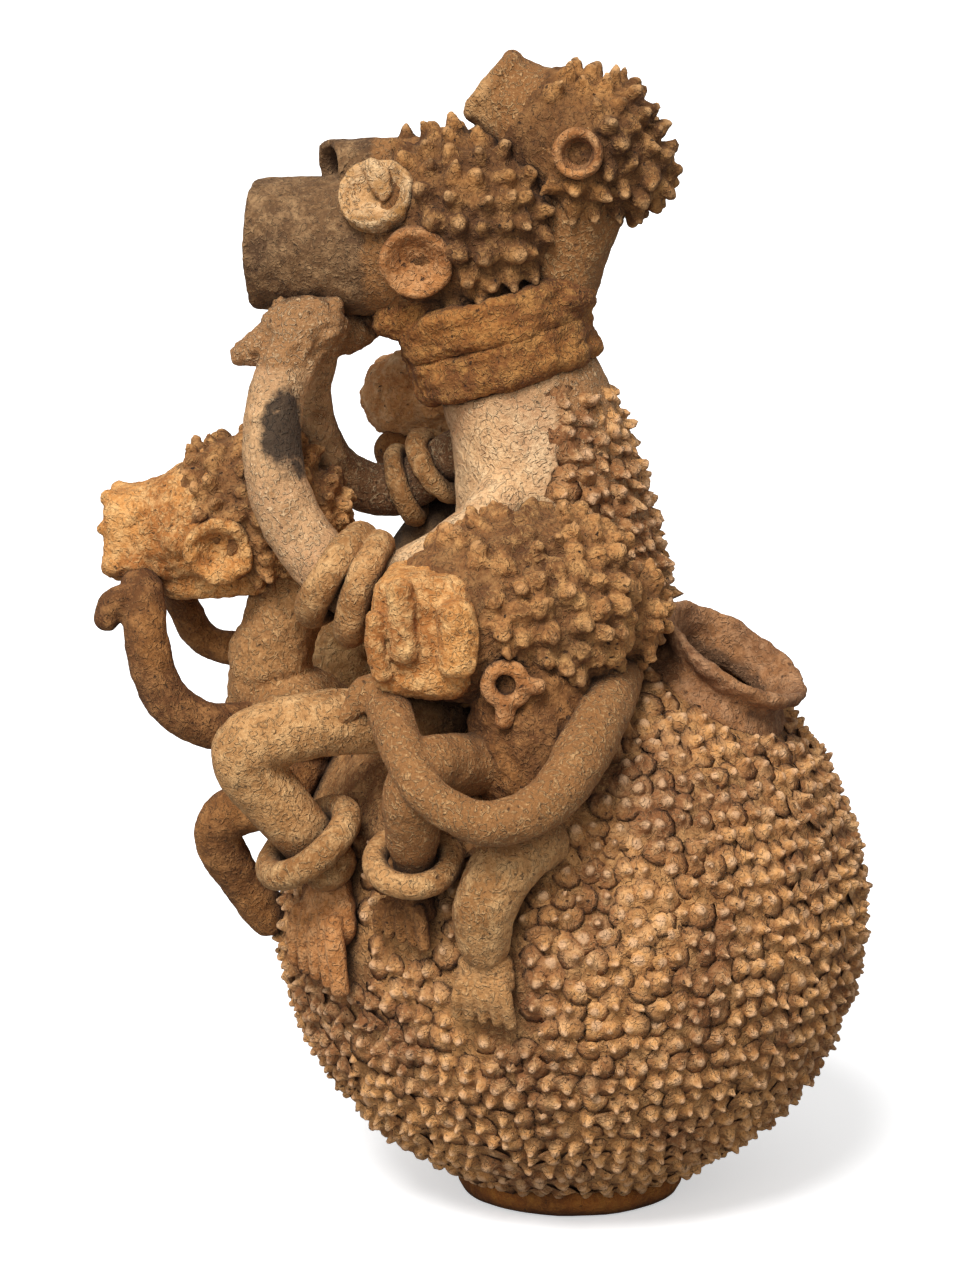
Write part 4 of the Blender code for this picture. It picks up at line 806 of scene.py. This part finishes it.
def make_trunk():
    """The torso, neck, arms and hands, pressed into one skin, and the bracelets and the collar round them."""
    torso_points, torso_radii = by_mother(TORSO)
    forms = [coil(torso_points, torso_radii, 40, round_start=False, round_end=False),
             coil(*by_mother(NECK), 36, round_start=False, round_end=False)]
    for rows in (LEFT_ARM, RIGHT_ARM):
        points, radii = by_mother(rows)
        slim = [radii[0] * 0.72, radii[1] * 0.86] + radii[2:]
        forms.append(coil(points, slim, 24))
    forms += mitten(LEFT_HAND, LEFT_THUMB, 1) + mitten(RIGHT_HAND, RIGHT_THUMB, -1)
    mesh = pressed(forms, 0.0012, 4, (0.045, 0.0010), (0.011, 0.0006))

    def wrist(at):
        return ramp((at - CROWN).z, 0.116, 0.134) * ramp((at - CROWN).dot(AHEAD), 0.085, 0.095)

    kneaded(mesh, (0.014, 0.0024), (0.006, 0.0014), share=wrist)
    soot_spot = between(by_mother(LEFT_ARM)[0], 5.62) + ASIDE * 0.010 - AHEAD * 0.009

    def earth_and_shade(at):
        level = min(max((at - CROWN).z, 0), 0.116)
        back = -(at - on_mother(0.004 + level * 0.10, 0, level)).dot(AHEAD)
        arm = ramp((at - CROWN).dot(AHEAD), 0.060, 0.085) * 0.46
        under = ramp((at - CROWN).z, 0.088, 0.116) * 0.45
        return max(ramp(back, 0.004, 0.020) * ramp((at - CROWN).z, -0.1, 0), wrist(at), arm, under)

    def smoke(at):
        away = at - soot_spot
        away.z *= 0.55
        return 1 - ramp(away.length, 0.008, 0.019)

    paint(mesh, "earth_and_shade", earth_and_shade)
    # Painted shade down the mother's right side, which is turned from the lamps.
    paint(mesh, "far", lambda at: ramp(-(at - CROWN).dot(ASIDE), 0.006, 0.028) * 0.75)
    paint(mesh, "soot", smoke)
    nodes = ("torso", "neck", "left_arm", "left_hand", "right_arm", "right_hand")
    piece("mother_trunk", mesh, skin_clay, nodes)

    for side, rows, places, thick in (("left", LEFT_ARM, LEFT_BRACELETS, LEFT_BRACELET_THICKNESS),
                                      ("right", RIGHT_ARM, RIGHT_BRACELETS, RIGHT_BRACELET_THICKNESS)):
        points, radii = by_mother(rows)
        for name, place in zip(("outer", "inner"), places):
            radius = between(radii, place) + thick / 2 - BRACELET_BITE
            ring = hoop(between(points, place), heading(points, place), radius, thick, 56, 18)
            mesh = kneaded(mesh_of([ring]), (0.016, 0.0008), (0.006, 0.0004))
            node = f"{side}_{name}_bracelet"
            piece(f"{node}_coil", mesh, limb_clay, (node,))

    points, radii = by_mother(NECK)
    for name, place in zip(("lower", "upper"), COLLAR_PLACES):
        axis = heading(points, place)
        radius = between(radii, place) + COLLAR_THICKNESS / 2 - COLLAR_LAP
        forms = []
        for share in (-0.22, 0, 0.22):
            middle = between(points, place) + axis * COLLAR_HEIGHT * share
            forms.append(hoop(middle, axis, radius, COLLAR_THICKNESS, 90, 20, COLLAR_HEIGHT * 0.56))
        if name == "upper":
            forms.append(lump(on_mother(0.069, 0.012, 0.150), (0.014, 0.026, 0.013), frame_along(axis)))
            forms.append(lump(on_mother(0.015, 0.008, 0.151), (0.024, 0.026, 0.013), frame_along(axis)))
        mesh = pressed(forms, 0.0010, 4, (0.032, 0.0032), (0.010, 0.0006))
        kneaded(mesh, (0.012, 0.0007), (0.004, 0.0004), grain=axis)
        piece(f"collar_{name}_wrap", mesh, band_clay, (f"collar_{name}_band",))


def make_back_studs():
    """Thorns in rows up the mother's back."""
    points, radii = by_mother(TORSO)
    skip = ("torso", "neck", "back_studs", "pot_body", "pot_studs", "rear_head_spikes")
    trees = tree_of(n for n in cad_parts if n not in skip)
    places = []
    pitch = 0.0090
    place = 0.55
    odd = 0.0
    while place < 4.0:
        girth = between(radii, place)
        step = math.degrees(pitch / girth)
        angle = -86 + odd * step
        while angle <= 76 - place * 3:
            turn = math.radians(angle + chance.gauss(0, 2.6))
            out = (-AHEAD * math.cos(turn) + ASIDE * math.sin(turn)).normalized()
            spot = between(points, place + chance.gauss(0, 0.03)) + out * girth
            if clear_of(trees, spot, 0.0030):
                shape = (KNOB, THORN, SPIKE)[int(chance.random() * 3)]
                wide = pitch * chance.uniform(1.0, 1.35)
                places.append((spot, out, shape, wide, pitch * chance.uniform(0.8, 1.3)))
            angle += step
        odd = 0.5 - odd
        place += pitch / (between(points, min(place + 0.5, 4)) - between(points, max(place - 0.5, 0))).length
    piece("back_stud_rows", mesh_of([studded(places, 0.0018)]), stud_clay, ("back_studs",))


def dish(points, radii, place, angle, radius, height, depth, rim=0.0048):
    """A pinched cup with a thick rim, pressed onto the side of a head."""
    centre, out = side_of(points, radii, place, angle)
    bowl = radius - rim
    floor = height * (1 - depth)
    root = -0.008
    profile = [(0, floor - height * 0.30), (bowl * 0.6, floor - height * 0.10),
               (bowl * 0.92, floor + height * 0.2), (bowl, height * 0.92), (radius - rim * 0.55, height * 1.06),
               (radius - rim * 0.15, height * 0.97), (radius, height * 0.75), (radius * 0.93, 0),
               (radius * 0.9, root), (0, root)]
    return turned(profile, centre - out * height * 0.35, out, 40)


def sink(mesh, centre, out, radius, depth):
    """Presses a hollow into the outside of a skin."""
    for vert in mesh.vertices:
        away = vert.co - centre
        lift = away.dot(out)
        wide = (away - out * lift).length
        if wide < radius and lift > -0.0045:
            vert.co -= out * depth * (1 - ramp(wide, 0.5 * radius, radius))
    mesh.update()


def make_front_head():
    """The open snout with its nose, the eye and ear cups, and a cap of blunt knobs."""
    points, radii = by_mother(HEAD)
    nose_points, nose_radii = by_mother(NOSE)
    nose = coil(nose_points, nose_radii, 26, 8, bore=(0.0036, 1.05))
    inward = heading(nose_points, 0)
    for vert in nose.verts:
        away = vert.co - nose_points[0]
        near = ramp(away.dot(ASIDE), -nose_radii[0], nose_radii[0])
        vert.co += inward * 0.014 * near * (1 - ramp(away.dot(inward), -0.002, 0.014))
    forms = [coil(points, radii, 44, bore=(0.0055, 4.5)), nose]
    mesh = pressed(forms, 0.0011, 2, (0.030, 0.0009), (0.009, 0.0006))
    for side, sign in SIDES:
        centre, out = side_of(points, radii, EYE_PLACE, sign * EYE_ANGLE)
        sink(mesh, centre, out, 0.0160, 0.0058)
    paint(mesh, "earth_and_shade", lambda at: ramp((at - on_mother(0.104, 0, 0.18)).dot(-AHEAD), 0, 0.02))
    piece("front_head_skin", mesh, snout_clay, ("front_head", "front_nose"))
    for side, sign in SIDES:
        centre, out = side_of(points, radii, EYE_PLACE, sign * EYE_ANGLE)
        high = (UP - out * out.z).normalized()
        lid = [centre + AHEAD * ahead + high * up + out * lift
               for ahead, up, lift in ((0.004, 0.014, 0.007), (-0.001, 0.007, 0.006), (-0.004, 0, 0.003))]
        forms = [dish(points, radii, EYE_PLACE, sign * EYE_ANGLE, 0.0182, 0.0108, 0.42, 0.0036),
                 coil(lid, [0.0046, 0.0050, 0.0036], 14, 5)]
        mesh = pressed(forms, 0.0009, 2, (0.012, 0.0013), (0.005, 0.0006))
        piece(f"front_{side}_eye_cup", mesh, eye_clay, (f"front_{side}_eye",))
        forms = [dish(points, radii, 2.75, sign * 103, 0.0172, 0.010, 0.32)]
        mesh = pressed(forms, 0.0009, 2, (0.012, 0.0007), (0.005, 0.0004))
        piece(f"front_{side}_ear_cup", mesh, red_clay, (f"front_{side}_ear",))
    keep = [f"front_{side}_{cup}" for cup in ("ear", "eye") for side, sign in SIDES]
    keep += ["rear_neck", "rear_head"]
    swell = [r + 0.0012 for r in radii]
    places = hair_places(points, swell, 2.80, 5.9, 0.0118, (KNOB, KNOB, SPIKE), 0.0040, keep)
    mesh = tufted(points, swell, 2.72, places, 0.0011, (0.010, 0.0008), (0.004, 0.0005))
    piece("front_hair_knobs", mesh, knob_clay, ("front_head_spikes",))


def make_rear_head():
    """The rear head with its thick open mouth, its nape and ears, and a cap of sharper knobs."""
    points, radii = by_mother(REAR_HEAD)
    nape_points, nape_radii = by_mother(REAR_NECK)
    inward = heading(points, 0)
    lip = hoop(points[0] + inward * 0.004, inward, radii[0] - 0.0010, 0.0085, 48, 14, 0.0105)
    nape_points = [p + AHEAD * 0.003 for p in nape_points]
    nape = coil(nape_points, [r - 0.002 for r in nape_radii], 32, round_start=False)
    forms = [coil(points, radii, 36, 8, bore=(0.005, 2.8)), nape, lip]
    mesh = pressed(forms, 0.0011, 4, (0.022, 0.0011), (0.008, 0.0006))
    brow = on_mother(0.036, 0, 0.236)
    paint(mesh, "earth_and_shade", lambda at: 0.70 - ramp((at - brow).dot(AHEAD), -0.006, 0.006) * 0.4)
    piece("rear_head_skin", mesh, limb_clay, ("rear_head", "rear_neck"))
    for side, sign in SIDES:
        forms = [dish(points, radii, 2.65, sign * 88, 0.0118, 0.012, 0.6, 0.0042)]
        mesh = pressed(forms, 0.0009, 2, (0.010, 0.0006))
        piece(f"rear_{side}_ear_cup", mesh, red_clay, (f"rear_{side}_ear",))
    keep = ["rear_left_ear", "rear_right_ear", "front_head", "collar_upper_band"]
    swell = [r + 0.0012 for r in radii]
    pitch = 0.0110
    shapes = (SPIKE, SPIKE, KNOB)
    places = hair_places(points, swell, 1.55, 2.45, pitch, shapes, 0.0038, keep, (-62, 62))
    places += hair_places(points, swell, 2.5, 3.95, pitch, shapes, 0.0038, keep)
    mesh = tufted(points, swell, 1.55, places, 0.0011, (0.010, 0.0009), (0.004, 0.0005), crown=pitch)
    piece("rear_hair_spikes", mesh, knob_clay, ("rear_head_spikes",))


def sole(bearing, latitude, length, heel, toe):
    """A slab foot down the pot's side: a heel, a broad ball and five long toes."""
    z = outward(bearing, latitude)
    x = -outward(bearing, latitude + 90)
    turn = Matrix((x, z.cross(x), z)).transposed().to_4x4()
    seat = Matrix.Translation(on_pot(bearing, latitude, 0.004)) @ turn
    forms = []
    for share, width in ((-0.32, heel * 0.50), (-0.17, (heel + toe) * 0.25), (-0.02, toe * 0.47)):
        middle = seat @ Vector((share * length, 0, 0))
        forms.append(lump(middle, (length * 0.27, width, 0.0090), turn, 28, 16))
    for i in range(5):
        aside = (i - 2) * toe * 0.205
        thick = toe * (0.094 if i < 4 else 0.108)
        root = seat @ Vector((-0.08 * length, aside * 0.80, 0.0068))
        ball = seat @ Vector((0.18 * length, aside * 0.98, 0.0068))
        tip = seat @ Vector((length * (0.45 + 0.032 * i), aside * 1.08, 0.0036))
        forms.append(coil([root, ball, tip], [thick, thick * 1.06, thick * 0.94], 14, 4))
    return forms


def make_legs():
    """The mother's legs and toed feet."""
    for side, rows, foot in (("left", LEFT_LEG, LEFT_FOOT), ("right", RIGHT_LEG, RIGHT_FOOT)):
        points, radii = by_pot(rows)
        ankle = between(points, ANKLET_PLACE)
        # The shin stays as rolled where the anklet turns on it.
        mesh = pressed([coil(points, radii, 26)], VOXEL, 3, (0.035, 0.0009), (0.009, 0.0005),
                       share=lambda at: ramp((at - ankle).length, 0.022, 0.038))
        paint(mesh, "earth_and_shade", lambda at: ramp((points[0] - at).length, 0.07, 0.0) * 0.5)
        piece(f"{side}_leg_coil", mesh, limb_clay, (f"{side}_leg",))
        mesh = pressed(sole(*foot), 0.0008, 1, (0.014, 0.0006))
        piece(f"{side}_foot_slab", mesh, red_clay, (f"{side}_foot",))


def make_anklets():
    """Loose rings that rest on their shins, each riding its own body."""
    for name, rows, thickness in (("left_anklet", LEFT_LEG, ANKLET_THICKNESS),
                                  ("right_anklet", RIGHT_LEG, ANKLET_THICKNESS),
                                  ("side_child_anklet", SIDE_RIGHT_LEG, SIDE_ANKLET_THICKNESS)):
        points, radii = by_pot(rows)
        axis = heading(points, ANKLET_PLACE)
        down = (axis * axis.z - UP).normalized()
        centre = between(points, ANKLET_PLACE) + down * ANKLET_SAG
        radius = between(radii, ANKLET_PLACE) + ANKLET_PLAY + thickness / 2
        ring = hoop(centre, axis, radius, thickness - 0.0006, 72, 20)
        mesh = kneaded(mesh_of([ring]), (0.012, 0.0003))
        piece(f"{name}_ring", mesh, limb_clay, (name,), name)


# Children

def make_front_child():
    """The child between the mother's knees, with a square muzzle and its hand at its mouth."""
    seat = on_pot(*FRONT_SEAT)
    forms = [lump(seat, (0.029, 0.036, 0.028), FACING, 32, 20), coil(*by_seat(FRONT_SEAT, FRONT_TORSO), 28)]
    mesh = pressed(forms, VOXEL, 3, (0.022, 0.0022), (0.008, 0.0012))
    # Darker all over, and darker still towards the bottom.
    paint(mesh, "earth_and_shade", lambda at: 0.5 + 0.5 * ramp(seat.z - at.z, -0.016, 0.0))
    piece("front_child_trunk", mesh, limb_clay, ("front_child_body",))

    forms = [coil(*by_seat(FRONT_SEAT, rows), 20) for rows in (FRONT_LEFT_ARM, FRONT_HAND, FRONT_RIGHT_ARM)]
    forms += [coil(*by_pot(rows), 22) for rows in (FRONT_LEFT_LEG, FRONT_RIGHT_LEG)]
    mesh = pressed(forms, 0.0011, 3, (0.020, 0.0009), (0.007, 0.0005))
    limbs = [f"front_child_{limb}" for limb in ("left_arm", "right_arm", "left_leg", "right_leg")]
    piece("front_child_limbs", mesh, dark_clay, limbs)

    points, radii = by_seat(FRONT_SEAT, FRONT_HEAD)
    muzzle = between(points, 0.75)
    forms = [coil(points, radii, 30, start=0.7, end=2.7), coil(*by_seat(FRONT_SEAT, FRONT_JAW), 20),
             dish(points, radii, FRONT_EAR_PLACE - 0.1, FRONT_EAR_ANGLE - 10, 0.0165, 0.0085, 0.5, 0.0060),
             plate(muzzle + AHEAD * 0.001, FACING, (0.046, 0.044, 0.043), 0.010)]
    for along, aside, up, size in ((0.020, 0.012, 0.0175, 0.0055), (0.020, -0.012, 0.0175, 0.0055),
                                   (0.022, 0.014, 0.004, 0.0050), (0.017, 0.017, -0.014, 0.0060),
                                   (0.004, 0.019, 0.013, 0.0065), (-0.012, 0.023, 0.002, 0.0080),
                                   (0.004, -0.019, 0.013, 0.0065), (0.006, 0.020, -0.012, 0.0055)):
        spot = muzzle + AHEAD * along + ASIDE * aside + UP * up
        forms.append(lump(spot, (size, size, size * 0.9)))
    mesh = pressed(forms, 0.0011, 2, (0.014, 0.0015), (0.006, 0.0009))
    piece("front_child_face", mesh, face_clay, ("front_child_head", "front_child_jaw", "front_child_ear"))

    pitch = 0.0100
    places = hair_places(points, radii, 2.35, 4.9, pitch, (CRUMB, KNOB), 0.0040, ["front_child_ear"], bald=0.08)
    mesh = tufted(points, radii, 2.3, places, 0.0014, (0.012, 0.0014), (0.004, 0.0007), crown=pitch)
    piece("front_child_tufts", mesh, worn_clay, ("front_child_hair",))


def make_side_child():
    """The child on the near shoulder of the pot, one arm round to its face."""
    forms = [coil(*by_pot(rows), 24) for rows in (SIDE_LEFT_ARM, SIDE_LEFT_LEG, SIDE_RIGHT_LEG)]
    points, radii = by_pot(SIDE_THUMB)
    hang = points[-1] + (points[-1] - points[0]).normalized() * 0.009
    forms.append(coil(points + [hang], radii + [radii[-1] * 0.9], 18))
    mesh = pressed(forms, 0.0011, 3, (0.030, 0.0010), (0.009, 0.0006))
    far_shin = by_pot(SIDE_RIGHT_LEG)[0][3:]

    # Darker high up, and painted shade over the far shin.
    def earth_and_shade(at):
        by_shin = min((at - p).length for p in far_shin)
        return max(ramp(at.z, 0.190, 0.215) * 0.62, 1 - ramp(by_shin, 0.014, 0.022))

    paint(mesh, "earth_and_shade", earth_and_shade)
    limbs = [f"side_child_{limb}" for limb in ("left_arm", "left_leg", "right_leg")]
    piece("side_child_limbs", mesh, limb_clay, limbs)
    mesh = pressed([coil(*by_pot(SIDE_BODY), 28)], VOXEL, 3, (0.014, 0.0022), (0.006, 0.0010))
    piece("side_child_trunk", mesh, dark_clay, ("side_child_body",))
    # The right foot takes the darkest clay, as painted shade.
    for side, foot, clay in (("left", SIDE_LEFT_FOOT, limb_clay), ("right", SIDE_RIGHT_FOOT, dark_clay)):
        mesh = pressed(sole(*foot), 0.0007, 1, (0.012, 0.0005))
        paint(mesh, "earth_and_shade", lambda at: 0.42)
        piece(f"side_child_{side}_slab", mesh, clay, (f"side_child_{side}_foot",))

    points, radii = by_seat(SIDE_SEAT, SIDE_HEAD)
    middle = between(points, 0.5) - AHEAD * 0.003 + UP * 0.002
    forms = [coil(points, [r - 0.002 for r in radii], 34, start=0.5, end=1.35),
             plate(middle, FACING, (0.046, 0.054, 0.057), 0.011)]
    # Ridges down the near cheek: places behind and above its middle, and a width.
    for line, width in ((((-0.009, 0.024), (-0.008, 0.010), (-0.007, -0.006)), 0.0066),
                        (((0.016, 0.014), (0.0175, 0.002), (0.017, -0.010)), 0.0090),
                        (((-0.020, 0.010), (-0.020, -0.004), (-0.017, -0.016)), 0.0050)):
        ridge = [middle - AHEAD * along + ASIDE * 0.0280 + UP * up for along, up in line]
        forms.append(coil(ridge, [width] * 3, 14, 5))
    mesh = pressed(forms, 0.0010, 2, (0.016, 0.0010), (0.006, 0.0006), (0.003, 0.0004))
    piece("side_child_face", mesh, face_clay, ("side_child_head",))

    edge, out = side_of(points, radii, SIDE_EAR_PLACE, SIDE_EAR_ANGLE)
    middle = edge + out * SIDE_EAR_RING * SIDE_EAR_STAND
    tail = [middle - UP * SIDE_EAR_RING, middle - UP * 0.0175 + AHEAD * 0.001]
    nub = [middle - AHEAD * SIDE_EAR_RING, middle - AHEAD * 0.0155]
    forms = [hoop(middle, ASIDE, SIDE_EAR_RING, SIDE_EAR_THICKNESS, 48, 16),
             coil(tail, [0.0050, 0.0040], 14, 4), coil(nub, [0.0048, 0.0036], 14, 4)]
    mesh = pressed(forms, 0.0008, 2, (0.010, 0.0006))
    piece("side_child_ear_loop", mesh, red_clay, ("side_child_ear",))

    pitch = 0.0116
    keep = ["side_child_ear", "side_child_left_arm"]
    places = hair_places(points, radii, 1.6, 4.9, pitch, (CRUMB, KNOB, KNOB), 0.0040, keep, bald=0.08)
    mesh = tufted(points, radii, 1.42, places, 0.0016, (0.012, 0.0012), (0.004, 0.0009), crown=pitch)
    piece("side_child_tufts", mesh, worn_clay, ("side_child_hair",))


def make_far_child():
    """The child at the mother's right side, of which the photograph shows little more than the head."""
    forms = [coil(*by_pot(rows), 24) for rows in (FAR_BODY, FAR_RIGHT_LEG)]
    forms += [coil(*by_seat(FAR_SEAT, rows), 18) for rows in (FAR_LEFT_ARM, FAR_RIGHT_ARM)]
    mesh = pressed(forms, VOXEL, 3, (0.025, 0.0010), (0.008, 0.0006))
    nodes = [f"far_child_{limb}" for limb in ("body", "right_leg", "left_arm", "right_arm")]
    piece("far_child_trunk", mesh, dark_clay, nodes)
    mesh = pressed([coil(*by_seat(FAR_SEAT, FAR_LEFT_LEG), 24)], VOXEL, 3, (0.025, 0.0010))
    piece("far_child_knee", mesh, knee_clay, ("far_child_left_leg",))
    points, radii = by_seat(FAR_SEAT, FAR_HEAD)
    forms = [coil(points, radii, 28)]
    for place, angle, size in ((0.4, 40, 0.011), (0.4, -60, 0.010), (1.2, 85, 0.011), (2.0, 20, 0.012)):
        spot, out = side_of(points, radii, place, angle)
        forms.append(lump(spot - out * size * 0.4, (size, size, size)))
    mesh = pressed(forms, 0.0011, 2, (0.012, 0.0016), (0.005, 0.0010))
    piece("far_child_head_lump", mesh, crumb_clay, ("far_child_head",))


# Stage

def make_stage():
    """A white floor out to the horizon, a soft high key lamp, a softer low fill lamp and an even sky."""
    bm = bmesh.new()
    bmesh.ops.create_grid(bm, x_segments=1, y_segments=1, size=60)
    mesh = bpy.data.meshes.new("floor")
    bm.to_mesh(mesh)
    bm.free()
    floor = placed("floor", mesh)
    # White paper to the eye, and grey to the light that it throws back, as a small sheet would be.
    paper = bpy.data.materials.new("matt_white_paper")
    paper.use_nodes = True
    tree = paper.node_tree
    sheet = tree.nodes["Principled BSDF"]
    seen = add(tree, "LightPath", output="Is Camera Ray")
    tone = add(tree, "Mix", {0: seen, 6: linear("8c8c8c"), 7: linear("fdfdfd")}, 2, data_type="RGBA")
    tree.links.new(tone, sheet.inputs["Base Color"])
    glow = add(tree, "Math", {0: seen, 1: 0.5}, operation="MULTIPLY")
    tree.links.new(glow, sheet.inputs["Emission Strength"])
    sheet.inputs["Roughness"].default_value = 1.0
    sheet.inputs["Specular IOR Level"].default_value = 0.0
    mesh.materials.append(paper)

    for name, energy, angle, way in (("key", 2.75, 22, (0.22, 0.62, -0.75)),
                                     ("fill", 1.05, 60, (0.30, 0.92, -0.26))):
        lamp = bpy.data.lights.new(name, "SUN")
        lamp.energy = energy
        lamp.angle = math.radians(angle)
        holder = placed(name, lamp)
        holder.rotation_euler = Vector(way).to_track_quat("-Z", "Y").to_euler()

    sky = bpy.data.worlds.new("sky")
    sky.use_nodes = True
    sky.node_tree.nodes["Background"].inputs["Color"].default_value = (1, 1, 1, 1)
    sky.node_tree.nodes["Background"].inputs["Strength"].default_value = 0.38
    bpy.context.scene.world = sky
    bpy.context.scene.view_settings.view_transform = "Standard"


def make_camera():
    """The photograph's view: 11.5 degrees down along +Y from 2.2 m."""
    camera = bpy.data.cameras.new("camera")
    camera.lens = 128.9
    camera.clip_end = 200
    holder = placed("camera", camera)
    holder.location = (-0.04368, -2.1305, 0.7033)
    aim = Vector((-0.04368, 0.02536, 0.26465)) - holder.location
    holder.rotation_euler = aim.to_track_quat("-Z", "Y").to_euler()
    bpy.context.scene.camera = holder


make_stage()
make_camera()
make_pot()
make_pot_studs()
make_trunk()
make_back_studs()
make_front_head()
make_rear_head()
make_legs()
make_anklets()
make_front_child()
make_side_child()
make_far_child()
